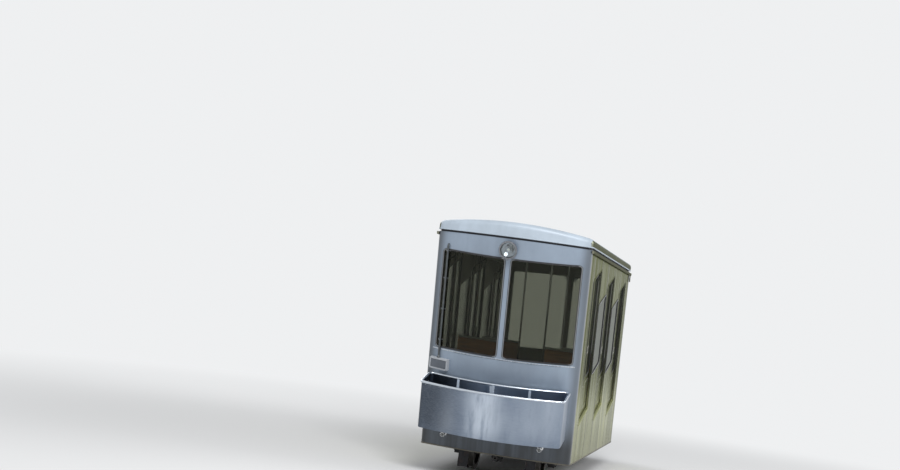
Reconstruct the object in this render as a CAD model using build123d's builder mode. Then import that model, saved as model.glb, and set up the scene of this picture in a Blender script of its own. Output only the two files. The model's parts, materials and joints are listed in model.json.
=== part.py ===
"""Funicular car: a stepped, plumb-walled body on two wheelsets, with a ski basket on each end.

+Z is square to the rails and +Y runs down the line, so the car stands on its wheels.
End walls, door jambs, poles and windows are plumb on the sloping line and lean uphill here.
"""
import os
from math import asin, cos, radians, sin, sqrt, tan

from build123d import *

os.makedirs("parts", exist_ok=True)

# Line and body
slope = 13.3
car_width = 2200
car_length = 6000
wall_height = 3070
ride_height = 350
end_panel = 550
bay_count = 5
door_bays = (0, 2, 4)
window_bays = (1, 3)
bay = (car_length - 2 * end_panel) / bay_count

# Body skin and the bowed ends, in plan
skin = 30
end_bow = 200
corner_return = 95
corner_radius = 60

# Roof
roof_gap = 30
roof_overhang = 35
roof_side_overhang = 12
roof_edge_height = 120
roof_rise = 210
roof_shell = 40
roof_flange = 12
roof_flange_reach = 100
roof_plan_radius = 130
roof_edge_radius = 75
seal_inset = 20
seal_width = 40
ceiling_thickness = 20
gutter_width = 32
gutter_height = 40
gutter_drop = 8
gutter_wall = 6

# Windscreens, measured up the plumb end wall from the skirt
screen_sill = 1490
screen_head = 2915
screen_post = 105
screen_mullion = 88
mullion_offset = -32
screen_radius = 45
glass_thickness = 8
glass_recess = 4
gasket_lap = 12
gasket_proud = 6

# Landings and steps
landing_rise_at_step = 350
floor_thickness = 40
floor_edge_gap = 55
aisle_width = 700
step_depth = 280

# Doors
door_head = 2150
door_lap = 25
door_gap = 6
leaf_thickness = 30
leaf_meeting_gap = 6
leaf_travel = 420
leaf_stile = 62
leaf_glass_sill = 586
leaf_glass_head = 2070
leaf_glass_radius = 45
door_rail_height = 2950
door_rail_thickness = 12
door_rail_width = 30
hanger_thickness = 12
hanger_width = 50
hanger_inset = 80
roller_radius = 20
roller_length = 26
running_clearance = 0.3

# Side windows, measured from the landing
window_sill = 955
window_head = 2045
window_margin = 70
window_radius = 60

# Lamps
headlamp_radius = 128
headlamp_height = 3055
headlamp_downhill_drop = 130
headlamp_depth = 100
headlamp_rim = 16
headlamp_foot = 26
headlamp_stem = 14
headlamp_back_radius = 76
headlamp_shoulder = 55
bowl_bottom = 30
bowl_floor_radius = 42
bowl_floor = 36
bowl_brim = 75
lens_seat = 86
lens_thickness = 6
lens_bulge = 22
marker_radius = 34
marker_beam_inset = 10
marker_height = 243
marker_depth = 110
marker_head = 36
marker_stalk_radius = 24

# Ski baskets, in the level and plumb frame of the end wall, parallel to its bow
basket_rim_height = 1110
basket_floor_height = 445
basket_half_width = 1020
basket_depth = 500
basket_standoff = 100
basket_sheet = 6
basket_corner_radius = 60
rim_tube_radius = 17
bearer_height = 60
bearer_half_length = 850
bearer_foot = 130
bearer_head = 190
strap_places = (-570, -50, 470)
strap_width = 34
strap_thickness = 12

# Junction box and conduit on the uphill end, set in from the left side
box_width = 290
box_height = 160
box_depth = 55
box_inset = 200
box_middle = 1250
box_frame = 18
box_frame_proud = 8
conduit_radius = 14
conduit_inset = 170
conduit_standoff = 24
conduit_top = 2990
conduit_bend = 20

# Benches, partitions and poles
front_board_place = 40
bench_seat_height = 440
bench_seat_thickness = 35
bench_depth = 420
bench_leg = 30
bench_wall_clearance = 75
partition_thickness = 30
partition_height = 820
front_back_height = 900
cap_width = 46
cap_height = 30
cap_radius = 14
pole_radius = 17
pole_setback = 40

# Underframe
beam_spacing = 1440
beam_width = 100
beam_height = 180
beam_drop = 100
beam_web = 20
beam_flange = 20
cross_width = 80
cross_uphill_inset = 300
cross_downhill_inset = 400
cross_bays = (1.65, 2.55, 3.4)
floor_bearer_thickness = 12

# Running gear
gauge = 1000
wheel_radius = 320
wheel_base = 3600
axle_shift = 150
flange_height = 22
flange_width = 22
guided_wheel_width = 130
plain_wheel_width = 160
wheel_rim_depth = 45
wheel_web = 36
hub_radius = 95
hub_length = 150
axle_radius = 65
journal_radius = 45
journal_length = 190
axle_box_width = 120
axle_box_length = 180
axle_box_height = 180
horn_thickness = 20
horn_bottom = 200
spring_radius = 34
spring_spacing = 90

# Brake, rope socket and rail guards
brake_length = 420
brake_width = 190
brake_jaw = 50
brake_slot = 78
brake_bottom = 70
brake_body_bottom = 190
rope_radius = 15
socket_height = 285
socket_length = 260
socket_small_radius = 34
socket_large_radius = 58
socket_cheek = 16
socket_reach = 150
guard_width = 150
guard_thickness = 16
guard_bottom = 75

# Worked-out frame of the sloping line
angle = radians(slope)
level = Vector(0, cos(angle), sin(angle))
plumb = Vector(0, -sin(angle), cos(angle))
along = Vector(0, 1, 0)
half_width = car_width / 2
wall_inner = half_width - skin
leaf_outer = wall_inner - door_gap
leaf_inner = leaf_outer - leaf_thickness
floor_half = wall_inner - floor_edge_gap

bow_radius = (half_width**2 + end_bow**2) / (2 * end_bow)

# The two baskets are what reaches furthest along the line, and set the middle of the car
basket_reach = end_bow + basket_standoff + basket_depth
uphill_reach = basket_reach * cos(angle) + basket_rim_height * sin(angle) + rim_tube_radius
downhill_reach = basket_reach * cos(angle) - basket_floor_height * sin(angle)
front_y = -(car_length + downhill_reach - uphill_reach) / 2


def plumb_side(x):
    """Side plane at x: its own x is level and runs downhill, its own y is plumb."""
    return Plane(origin=(x, front_y, ride_height), x_dir=level, z_dir=(1, 0, 0))


def leaning_section(s):
    """Cross-section plane, parallel to the end walls, s along the skirt from the uphill corner."""
    return Plane(origin=(0, front_y + s, ride_height), x_dir=(1, 0, 0), z_dir=-level)


def up(height):
    """Height square to the rails, as a distance up a leaning section."""
    return height / cos(angle)


def side_point(s, height):
    """Point on the YZ plane at s along the body and at a height above the skirt's edge."""
    return (front_y + s - tan(angle) * height, ride_height + height)


def plumb_height(a, height):
    """Plumb coordinate of a height above the skirt's edge, at level distance a."""
    return (height - a * sin(angle)) / cos(angle)


def end_face(end):
    """Plane of an end wall's outer face: its own y is plumb and its own z points outward."""
    if end == "uphill":
        return Plane(origin=(0, front_y, ride_height), x_dir=(1, 0, 0), z_dir=-level)
    return Plane(
        origin=(0, front_y + car_length, ride_height), x_dir=(-1, 0, 0), z_dir=level
    )


def level_plan(b):
    """Level plane at plumb height b: its own y is level and runs downhill."""
    return Plane(
        origin=Vector(0, front_y, ride_height) + plumb * b, x_dir=(1, 0, 0), z_dir=plumb
    )


def bulge(x, offset=0):
    """How far the bowed end stands out at x, or a face that far outside it."""
    return sqrt((bow_radius + offset) ** 2 - x**2) - (bow_radius - end_bow)


def skin_plane(end, x, height):
    """Plane on an end's bowed skin: its own z is the skin's outward normal."""
    face = end_face(end)
    turn = asin(x / bow_radius)
    normal = face.z_dir * cos(turn) + face.x_dir * sin(turn)
    across = face.x_dir * cos(turn) - face.z_dir * sin(turn)
    return Plane(
        origin=face.from_local_coords((x, height, bulge(x))), x_dir=across, z_dir=normal
    )


ends = ("uphill", "downhill")
sides = (("right", 1), ("left", -1))
level_length = car_length * cos(angle)
landing_drop = 2 * bay * sin(angle)
compartment_starts = (
    front_board_place,
    (end_panel + bay) * cos(angle),
    (end_panel + 3 * bay) * cos(angle),
)
compartment_ends = compartment_starts[1:] + (level_length,)
second_landing = plumb_height(compartment_starts[1], landing_rise_at_step)
landings = (second_landing + landing_drop, second_landing, second_landing - landing_drop)


def bay_start(index):
    """Level distance from the uphill wall to the start of a bay."""
    return (end_panel + index * bay) * cos(angle)


def landing_over(a):
    """Plumb height of the landing at level distance a."""
    return next(landing for stop, landing in zip(compartment_ends, landings) if a < stop)


level_bay = bay * cos(angle)
cross_places = (
    (cross_uphill_inset,)
    + tuple(end_panel + bays * bay for bays in cross_bays)
    + (car_length - cross_downhill_inset,)
)
made = []


def keep(builder, name):
    """Label a finished piece and write it out under the same name."""
    builder.part.label = name
    made.append(builder.part)
    export_step(builder.part, f"parts/{name}.step")


# Plan of the whole body, level and bowed at both ends, as a plumb prism
prism_base = plumb_height(level_length + end_bow, 0) - corner_return
prism_height = plumb_height(-end_bow, wall_height) + corner_return - prism_base


def bowed_outline(start, stop, end_grow, side_grow, radius):
    """Face with straight sides and ends bowed like the body's, grown from the body's plan."""
    half = half_width + side_grow
    shoulder = bulge(half, end_grow)
    with BuildLine() as outline:
        ThreePointArc(
            (-half, start - shoulder), (0, start - bulge(0, end_grow)), (half, start - shoulder)
        )
        Line((half, start - shoulder), (half, stop + shoulder))
        ThreePointArc(
            (half, stop + shoulder), (0, stop + bulge(0, end_grow)), (-half, stop + shoulder)
        )
        Line((-half, stop + shoulder), (-half, start - shoulder))
        fillet(outline.vertices(), radius)
    make_face(outline.edges())


def body_prism(inset):
    """Plumb prism of the body's plan, inset from its outer skin."""
    with BuildPart() as prism:
        with BuildSketch(level_plan(prism_base)):
            bowed_outline(0, level_length, -inset, -inset, max(corner_radius - inset, skin / 2))
        extrude(amount=prism_height)
    return prism.part


outside = body_prism(0)
inside = body_prism(skin)
glass_outside = body_prism(glass_recess)
glass_inside = body_prism(glass_recess + glass_thickness)
gasket_outside = body_prism(-gasket_proud)


# Side walls: one skin with three door openings and two windows
def window_outline(landing, index, grow):
    """Rounded outline of a side window, grown on every side."""
    width = level_bay - 2 * window_margin
    height = window_head - window_sill
    with Locations((bay_start(index) + level_bay / 2, landing + window_sill + height / 2)):
        RectangleRounded(width + 2 * grow, height + 2 * grow, window_radius + grow)


side_start = corner_return / cos(angle)
for side_name, side in sides:
    with BuildPart() as side_wall:
        with BuildSketch(Plane.YZ.offset(min(side * wall_inner, side * half_width))):
            Polygon(
                side_point(side_start, 0),
                side_point(car_length - side_start, 0),
                side_point(car_length - side_start, wall_height),
                side_point(side_start, wall_height),
                align=None,
            )
        extrude(amount=skin)
        with BuildSketch(plumb_side(0)):
            for landing, index in zip(landings, door_bays):
                with Locations((bay_start(index), landing)):
                    Rectangle(level_bay, door_head, align=(Align.MIN, Align.MIN))
            for landing, index in zip(landings[1:], window_bays):
                window_outline(landing, index, 0)
        extrude(amount=side * car_width, mode=Mode.SUBTRACT)
    keep(side_wall, f"{side_name}_side_wall")

with BuildPart() as side_windows:
    for _, side in sides:
        with BuildSketch(plumb_side(side * (half_width - glass_recess))):
            for landing, index in zip(landings[1:], window_bays):
                window_outline(landing, index, 0)
        extrude(amount=-side * glass_thickness)
keep(side_windows, "side_windows")

with BuildPart() as side_window_gaskets:
    for _, side in sides:
        with BuildSketch(plumb_side(side * half_width)):
            for landing, index in zip(landings[1:], window_bays):
                window_outline(landing, index, gasket_lap)
        extrude(amount=side * gasket_proud)
        with BuildSketch(plumb_side(side * (half_width - glass_recess))):
            for landing, index in zip(landings[1:], window_bays):
                window_outline(landing, index, 0)
        extrude(amount=side * (glass_recess + gasket_proud))
        with BuildSketch(plumb_side(side * (half_width - glass_recess))):
            for landing, index in zip(landings[1:], window_bays):
                window_outline(landing, index, -gasket_lap)
        extrude(amount=side * (glass_recess + gasket_proud), mode=Mode.SUBTRACT)
keep(side_window_gaskets, "side_window_gaskets")


# End walls: a bowed face whose rounded corners wrap onto the sides
screen_edge = half_width - screen_post
pane_spans = (
    (-screen_edge, mullion_offset - screen_mullion / 2),
    (mullion_offset + screen_mullion / 2, screen_edge),
)


def pane_outlines(grow, mode=Mode.ADD):
    """The two windscreen panes seen square to an end, grown on every side."""
    height = screen_head - screen_sill
    for start, stop in pane_spans:
        with Locations(((start + stop) / 2, screen_sill + height / 2)):
            RectangleRounded(
                stop - start + 2 * grow, height + 2 * grow, screen_radius + grow, mode=mode
            )


def return_plane(end):
    """Plumb plane where an end wall's corner returns meet the side walls."""
    a = corner_return if end == "uphill" else level_length - corner_return
    return Plane(origin=plumb_side(0).from_local_coords((a, 0, 0)), z_dir=level)


def end_skin(end, outer, inner):
    """Bowed shell of one end, between two plan prisms."""
    with BuildPart() as shell:
        add(outer)
        add(inner, mode=Mode.SUBTRACT)
        split(bisect_by=return_plane(end), keep=Keep.BOTTOM if end == "uphill" else Keep.TOP)
    return shell.part


sight = end_bow + 2 * corner_return
for end in ends:
    with BuildPart() as end_wall:
        add(end_skin(end, outside, inside))
        split(bisect_by=Plane.XY.offset(ride_height), keep=Keep.TOP)
        split(bisect_by=Plane.XY.offset(ride_height + wall_height), keep=Keep.BOTTOM)
        with BuildSketch(end_face(end).offset(-corner_return)):
            pane_outlines(0)
        extrude(amount=sight, mode=Mode.SUBTRACT)
    keep(end_wall, f"{end}_end_wall")


def end_trim(end, outer, inner, grow, shrink):
    """What a bowed shell leaves inside the pane outlines, less a smaller outline."""
    with BuildPart() as trim:
        add(end_skin(end, outer, inner))
        with BuildSketch(end_face(end).offset(-corner_return)):
            pane_outlines(grow)
            if shrink is not None:
                pane_outlines(-shrink, Mode.SUBTRACT)
        extrude(amount=sight, mode=Mode.INTERSECT)
    return trim.part


with BuildPart() as windscreens:
    for end in ends:
        add(end_trim(end, glass_outside, glass_inside, 0, None))
keep(windscreens, "windscreens")

with BuildPart() as windscreen_gaskets:
    for end in ends:
        add(end_trim(end, gasket_outside, outside, gasket_lap, gasket_lap))
        add(end_trim(end, outside, glass_outside, 0, gasket_lap))
keep(windscreen_gaskets, "windscreen_gaskets")


# Roof: a shallow arch rounded down all round, on a recessed seal that makes the dark joint
joint_height = ride_height + wall_height
joint_middle = front_y + car_length / 2 - tan(angle) * wall_height
roof_base = joint_height + roof_gap


def roof_arch(inset):
    """Prism under the roof's arch, inset from its outer skin, along the car."""
    half = half_width + roof_side_overhang
    edge = roof_base + roof_edge_height - inset
    with BuildPart() as arch:
        with BuildSketch(Plane.XZ):
            with BuildLine():
                ThreePointArc((-half, edge), (0, roof_base + roof_rise - inset), (half, edge))
                Polyline((half, edge), (half, joint_height), (-half, joint_height), (-half, edge))
            make_face()
        extrude(amount=car_length, both=True)
    return arch.part


def roof_prism(height, inset):
    """Prism of the roof's bowed plan from a height up, inset from its outer edge."""
    with BuildPart() as prism:
        with BuildSketch(Plane(origin=(0, joint_middle, height))):
            bowed_outline(
                -car_length / 2,
                car_length / 2,
                roof_overhang - inset,
                roof_side_overhang - inset,
                roof_plan_radius - inset,
            )
        extrude(amount=2 * roof_rise)
    return prism.part


with BuildPart() as roof_hollow:
    add(roof_prism(roof_base + roof_flange, roof_shell))
    add(roof_prism(roof_base, roof_flange_reach))
    add(roof_arch(roof_shell), mode=Mode.INTERSECT)

with BuildPart() as roof:
    add(roof_prism(roof_base, 0))
    add(roof_arch(0), mode=Mode.INTERSECT)
    rim = roof.edges().filter_by(Axis.Z, reverse=True)
    rim = rim.filter_by_position(Axis.Z, roof_base + roof_edge_height / 2, roof_base + roof_rise)
    fillet(rim, roof_edge_radius)
    add(roof_hollow.part, mode=Mode.SUBTRACT)
keep(roof, "roof")

with BuildPart() as roof_seal:
    add(body_prism(seal_inset))
    add(body_prism(seal_inset + seal_width), mode=Mode.SUBTRACT)
    split(bisect_by=Plane.XY.offset(joint_height), keep=Keep.TOP)
    split(bisect_by=Plane.XY.offset(roof_base), keep=Keep.BOTTOM)
keep(roof_seal, "roof_seal")

with BuildPart() as ceiling:
    add(inside)
    split(bisect_by=Plane.XY.offset(joint_height), keep=Keep.BOTTOM)
    split(bisect_by=Plane.XY.offset(joint_height - ceiling_thickness), keep=Keep.TOP)
keep(ceiling, "ceiling")

with BuildPart() as gutters:
    with BuildSketch(leaning_section(0)):
        gutter_middle = up(wall_height - gutter_drop) - gutter_height / 2
        for _, side in sides:
            gutter_x = side * (half_width + gutter_width / 2)
            with Locations((gutter_x, gutter_middle)):
                Rectangle(gutter_width, gutter_height)
            with Locations((gutter_x, gutter_middle + gutter_wall)):
                Rectangle(gutter_width - 2 * gutter_wall, gutter_height, mode=Mode.SUBTRACT)
    extrude(amount=car_length, dir=along)
keep(gutters, "gutters")

# Floor: three level landings with a riser and a half step in the aisle between them
landing_starts = (-end_bow,) + compartment_starts[1:]
landing_ends = compartment_starts[1:] + (level_length + end_bow,)
with BuildPart() as floor:
    with BuildSketch(plumb_side(-floor_half)):
        for start, stop, landing in zip(landing_starts, landing_ends, landings):
            with Locations((start, landing - floor_thickness)):
                Rectangle(stop - start, floor_thickness, align=(Align.MIN, Align.MIN))
        for start, landing in zip(compartment_starts[1:], landings[1:]):
            with Locations((start, landing - floor_thickness)):
                Rectangle(
                    floor_thickness,
                    landing_drop + floor_thickness,
                    align=(Align.MAX, Align.MIN),
                )
    extrude(amount=2 * floor_half)
    add(inside, mode=Mode.INTERSECT)
    with BuildSketch(plumb_side(-aisle_width / 2)):
        for start, landing in zip(compartment_starts[1:], landings[1:]):
            with Locations((start, landing)):
                Rectangle(step_depth, landing_drop / 2, align=(Align.MIN, Align.MIN))
    extrude(amount=aisle_width)
keep(floor, "floor")


# Benches, wooden partitions with a light cap, and grab poles
bench_outer = wall_inner - bench_wall_clearance
bench_length = bench_outer - aisle_width / 2
bench_faces = (-bench_outer, aisle_width / 2)
bench_leg_height = bench_seat_height - bench_seat_thickness
low_corner = (Align.MIN, Align.MIN)
standing = (Align.CENTER, Align.MIN)
with BuildPart() as benches:
    for face_x in bench_faces:
        with BuildSketch(plumb_side(face_x)):
            for start, landing in zip(compartment_starts, landings):
                back = start + partition_thickness
                with Locations((back, landing + bench_leg_height)):
                    Rectangle(bench_depth, bench_seat_thickness, align=low_corner)
                with Locations((back + bench_depth / 2, landing)):
                    Rectangle(bench_leg, bench_leg_height, align=standing)
        extrude(amount=bench_length)
keep(benches, "benches")

partition_tops = (landings[0] + front_back_height,) + tuple(
    landing + partition_height for landing in landings[:2]
)
with BuildPart() as partitions:
    for face_x in bench_faces:
        with BuildSketch(plumb_side(face_x)):
            for start, landing, top in zip(compartment_starts, landings, partition_tops):
                with Locations((start, landing)):
                    Rectangle(partition_thickness, top - landing, align=low_corner)
        extrude(amount=bench_length)
keep(partitions, "partitions")

with BuildPart() as partition_caps:
    for face_x in bench_faces:
        with BuildSketch(plumb_side(face_x)):
            for start, top in zip(compartment_starts[1:], partition_tops[1:]):
                with Locations((start + partition_thickness / 2, top + cap_height / 2)):
                    RectangleRounded(cap_width, cap_height, cap_radius)
        extrude(amount=bench_length)
keep(partition_caps, "partition_caps")

with BuildPart() as grab_poles:
    for start, landing in zip(compartment_starts[1:], landings):
        with BuildSketch(level_plan(landing)):
            pole_a = start - pole_setback
            with Locations((-aisle_width / 2, pole_a), (aisle_width / 2, pole_a)):
                Circle(pole_radius)
        extrude(amount=wall_height)
    split(bisect_by=Plane.XY.offset(joint_height - ceiling_thickness), keep=Keep.BOTTOM)
keep(grab_poles, "grab_poles")


# Doors: leaves hang by rollers on a rail inside the wall, and slide apart along the line
door_rail_top = door_rail_height + door_rail_thickness
with BuildPart() as door_rails:
    with BuildSketch(leaning_section(side_start)):
        for _, side in sides:
            rail_x = side * (wall_inner - door_rail_width / 2)
            with Locations((rail_x, up(door_rail_height + door_rail_thickness / 2))):
                Rectangle(door_rail_width, up(door_rail_thickness))
    extrude(amount=car_length - 2 * side_start, dir=along)
keep(door_rails, "door_rails")

leaf_width = level_bay / 2 - leaf_meeting_gap / 2 + door_lap
glass_width = leaf_width - 2 * leaf_stile
leaf_height = door_head + 2 * door_lap


def leaf_glass_outline(centre, landing, mode=Mode.ADD):
    """Rounded outline of a door leaf's glass."""
    height = leaf_glass_head - leaf_glass_sill
    with Locations((centre, landing + leaf_glass_sill + height / 2)):
        RectangleRounded(glass_width, height, leaf_glass_radius, mode=mode)


def add_leaf(name, side, centre, landing):
    """One door leaf with its hangers and rollers, and its glass."""
    with BuildPart() as leaf:
        with BuildSketch(plumb_side(side * leaf_inner)):
            with Locations((centre, landing - door_lap)):
                Rectangle(leaf_width, leaf_height, align=(Align.CENTER, Align.MIN))
            leaf_glass_outline(centre, landing, Mode.SUBTRACT)
        extrude(amount=side * leaf_thickness)
        for shift in (-leaf_width / 2 + hanger_inset, leaf_width / 2 - hanger_inset):
            a = centre + shift
            axle = plumb_height(a, door_rail_top + running_clearance) + up(roller_radius)
            foot = landing + leaf_glass_head + leaf_stile / 2
            with BuildSketch(plumb_side(side * leaf_inner)):
                with Locations((a, foot)):
                    Rectangle(hanger_width, axle - foot, align=(Align.CENTER, Align.MIN))
                with Locations((a, axle)):
                    Circle(hanger_width / 2)
            extrude(amount=-side * hanger_thickness)
            with BuildSketch(plumb_side(side * leaf_inner)):
                with Locations((a, axle)):
                    Circle(roller_radius)
            extrude(amount=side * roller_length)
    keep(leaf, f"{name}_leaf")
    with BuildPart() as glass:
        with BuildSketch(plumb_side(side * (leaf_outer - glass_recess))):
            leaf_glass_outline(centre, landing)
        extrude(amount=-side * glass_thickness)
    keep(glass, f"{name}_glass")


for side_name, side in sides:
    for number, (landing, index) in enumerate(zip(landings, door_bays), start=1):
        middle = bay_start(index) + level_bay / 2
        reach = leaf_meeting_gap / 2 + leaf_width / 2
        add_leaf(f"{side_name}_door_{number}_uphill", side, middle - reach, landing)
        add_leaf(f"{side_name}_door_{number}_downhill", side, middle + reach, landing)

# Headlamps: a bezelled bowl over the mullion, with a domed lens
lens_radius = headlamp_radius - headlamp_rim
lens_edge = lens_seat + lens_thickness
headlamp_heights = {
    "uphill": headlamp_height,
    "downhill": headlamp_height - headlamp_downhill_drop,
}


def lamp_plane(end):
    """Plane through a headlamp's axis: its own x is radial and its own y points outward."""
    face = end_face(end)
    return Plane(
        origin=face.from_local_coords((mullion_offset, headlamp_heights[end], end_bow)),
        x_dir=face.x_dir,
        z_dir=-face.y_dir,
    )


with BuildPart() as headlamps:
    for end in ends:
        lamp = lamp_plane(end)
        with BuildSketch(lamp):
            with BuildLine():
                Polyline(
                    (0, -headlamp_stem),
                    (headlamp_foot, -headlamp_stem),
                    (headlamp_foot, headlamp_stem),
                    (headlamp_back_radius, headlamp_stem),
                    (headlamp_radius, headlamp_shoulder),
                    (headlamp_radius, headlamp_depth),
                    (lens_radius, headlamp_depth),
                    (lens_radius, bowl_brim),
                    (bowl_floor_radius, bowl_floor),
                    (0, bowl_bottom),
                    (0, -headlamp_stem),
                )
            make_face()
        revolve(axis=Axis(lamp.origin, lamp.y_dir))
    add(outside, mode=Mode.SUBTRACT)
keep(headlamps, "headlamps")

with BuildPart() as headlamp_lenses:
    for end in ends:
        lamp = lamp_plane(end)
        with BuildSketch(lamp):
            with BuildLine():
                Polyline(
                    (0, lens_edge + lens_bulge),
                    (0, lens_seat),
                    (lens_radius, lens_seat),
                    (lens_radius, lens_edge),
                )
                SagittaArc((lens_radius, lens_edge), (-lens_radius, lens_edge), -lens_bulge)
                Polyline((-lens_radius, lens_edge), (-lens_radius, lens_seat), (0, lens_seat))
            make_face()
            split(bisect_by=Plane.YZ, keep=Keep.TOP)
        revolve(axis=Axis(lamp.origin, lamp.y_dir))
keep(headlamp_lenses, "headlamp_lenses")

# Marker lamps on short stalks under the basket, in front of the beam ends
marker_half_spread = beam_spacing / 2 - marker_beam_inset
with BuildPart() as marker_lamps:
    for end in ends:
        for place in (mullion_offset - marker_half_spread, mullion_offset + marker_half_spread):
            stand = bulge(place) + marker_depth
            with BuildSketch(end_face(end)):
                with Locations((place, marker_height)):
                    Circle(marker_stalk_radius)
            extrude(amount=stand)
            with BuildSketch(end_face(end).offset(stand - marker_head)):
                with Locations((place, marker_height)):
                    Circle(marker_radius)
            extrude(amount=marker_head)
    add(outside, mode=Mode.SUBTRACT)
keep(marker_lamps, "marker_lamps")


# Ski baskets: a tub bowed like the end it hangs on, with a tube round its mouth
def own_plan(height):
    """Level plane at a plumb height in an end's own frame: its own y points into the car."""
    return Plane(origin=(0, height, 0), x_dir=(1, 0, 0), z_dir=(0, 1, 0))


def bowed_band(half, inner, outer, radius=0):
    """Closed outline between two bows that run parallel to the end's skin."""
    with BuildLine(mode=Mode.PRIVATE) as outline:
        ThreePointArc(
            (-half, -bulge(half, outer)), (0, -bulge(0, outer)), (half, -bulge(half, outer))
        )
        Line((half, -bulge(half, outer)), (half, -bulge(half, inner)))
        ThreePointArc(
            (half, -bulge(half, inner)), (0, -bulge(0, inner)), (-half, -bulge(half, inner))
        )
        Line((-half, -bulge(half, inner)), (-half, -bulge(half, outer)))
        if radius:
            fillet(outline.vertices(), radius)
    return outline.line


tub_back = basket_standoff
tub_front = basket_standoff + basket_depth
tub_height = basket_rim_height - basket_floor_height
with BuildPart() as basket:
    with BuildSketch(own_plan(basket_floor_height)):
        make_face(
            bowed_band(basket_half_width, tub_back, tub_front, basket_corner_radius).edges()
        )
    extrude(amount=tub_height)
    with BuildSketch(own_plan(basket_floor_height + basket_sheet)):
        make_face(
            bowed_band(
                basket_half_width - basket_sheet,
                tub_back + basket_sheet,
                tub_front - basket_sheet,
                basket_corner_radius - basket_sheet,
            ).edges()
        )
    extrude(amount=tub_height, mode=Mode.SUBTRACT)
    for height in (basket_floor_height + bearer_foot, basket_rim_height - bearer_head):
        with BuildSketch(own_plan(height)):
            make_face(bowed_band(bearer_half_length, 0, tub_back + basket_sheet / 2).edges())
        extrude(amount=bearer_height)
    with BuildSketch(own_plan(basket_floor_height + basket_sheet / 2)):
        for place in strap_places:
            with Locations((place, -bulge(place, tub_back + strap_thickness))):
                Rectangle(strap_width, strap_thickness)
    extrude(amount=tub_height - basket_sheet)
    rim_path = own_plan(basket_rim_height) * bowed_band(
        basket_half_width, tub_back, tub_front, basket_corner_radius
    )
    with BuildSketch(Plane(rim_path @ 0, z_dir=rim_path % 0)):
        Circle(rim_tube_radius)
    sweep(path=rim_path)

for end in ends:
    with BuildPart() as placed_basket:
        with Locations(end_face(end).location):
            add(basket.part)
    keep(placed_basket, f"{end}_ski_basket")

# Junction box and conduit, on the uphill end alone
box_place = box_inset - half_width
box_plane = skin_plane("uphill", box_place, box_middle)
with BuildPart() as junction_box:
    with BuildSketch(box_plane.offset(-box_depth / 2)):
        Rectangle(box_width, box_height)
    extrude(amount=1.5 * box_depth)
    add(outside, mode=Mode.SUBTRACT)
    with BuildSketch(box_plane.offset(box_depth)):
        Rectangle(box_width, box_height)
        Rectangle(box_width - 2 * box_frame, box_height - 2 * box_frame, mode=Mode.SUBTRACT)
    extrude(amount=box_frame_proud)
keep(junction_box, "junction_box")

conduit_place = conduit_inset - half_width
conduit_line = bulge(conduit_place) + conduit_standoff
with BuildPart() as conduit:
    with BuildLine(plumb_side(conduit_place)) as run:
        FilletPolyline(
            (-conduit_line, box_middle + box_height / 2),
            (-conduit_line, conduit_top),
            (-conduit_line + 2 * conduit_standoff, conduit_top),
            radius=conduit_bend,
        )
    with BuildSketch(Plane(run.line @ 0, z_dir=run.line % 0)):
        Circle(conduit_radius)
    sweep(path=run.line)
    add(outside, mode=Mode.SUBTRACT)
keep(conduit, "conduit")

# Underframe: two long beams with cross-members between and outside them
axle_middle = front_y + car_length / 2 - axle_shift
axle_places = (axle_middle - wheel_base / 2, axle_middle + wheel_base / 2)
beam_bottom = ride_height + beam_drop
beam_top = beam_bottom + beam_height
beam_middle = beam_drop + beam_height / 2
beam_lines = (-beam_spacing / 2, beam_spacing / 2)
upright = (Align.CENTER, Align.CENTER, Align.MIN)
with BuildPart() as frame_beams:
    with BuildSketch(leaning_section(-end_bow)):
        with Locations(*[(x, up(beam_middle)) for x in beam_lines]):
            Rectangle(beam_width, up(beam_height))
            Rectangle(beam_width, up(beam_height - 2 * beam_flange), mode=Mode.SUBTRACT)
            Rectangle(beam_web, up(beam_height))
    extrude(amount=car_length + 2 * end_bow, dir=along)
    add(inside, mode=Mode.INTERSECT)
keep(frame_beams, "frame_beams")

cross_bottom = beam_bottom + beam_flange
cross_height = beam_height - 2 * beam_flange
web_edge = beam_web / 2
cross_spans = (
    (-wall_inner, beam_lines[0] - web_edge),
    (beam_lines[0] + web_edge, beam_lines[1] - web_edge),
    (beam_lines[1] + web_edge, wall_inner),
)
with BuildPart() as cross_members:
    for place in cross_places:
        for start, stop in cross_spans:
            with Locations(((start + stop) / 2, front_y + place, cross_bottom)):
                Box(stop - start, cross_width, cross_height, align=upright)
keep(cross_members, "cross_members")

horn_reach = axle_box_length / 2 + horn_thickness / 2
with BuildPart() as horn_plates:
    for place in axle_places:
        for x in beam_lines:
            with Locations((x, place - horn_reach, horn_bottom), (x, place + horn_reach, horn_bottom)):
                Box(beam_width, horn_thickness, beam_bottom - horn_bottom, align=upright)
keep(horn_plates, "horn_plates")

with BuildPart() as floor_bearers:
    with BuildSketch(plumb_side(-floor_half)):
        for place in cross_places:
            a = (place + tan(angle) * beam_middle) * cos(angle)
            low = plumb_height(a, beam_middle)
            with Locations((a, low)):
                Rectangle(
                    floor_bearer_thickness,
                    landing_over(a) - floor_thickness - low,
                    align=standing,
                )
    extrude(amount=2 * floor_half)
    split(bisect_by=Plane.XY.offset(beam_top), keep=Keep.TOP)
keep(floor_bearers, "floor_bearers")


# Wheelsets: one grooved wheel that guides, one wide plain wheel for the passing loop
def band(x0, x1, r0, r1):
    """Rectangle of a wheelset's half section, from x0 to x1 and from radius r0 to r1."""
    with Locations((x0, r0)):
        Rectangle(x1 - x0, r1 - r0, align=(Align.MIN, Align.MIN))


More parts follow.
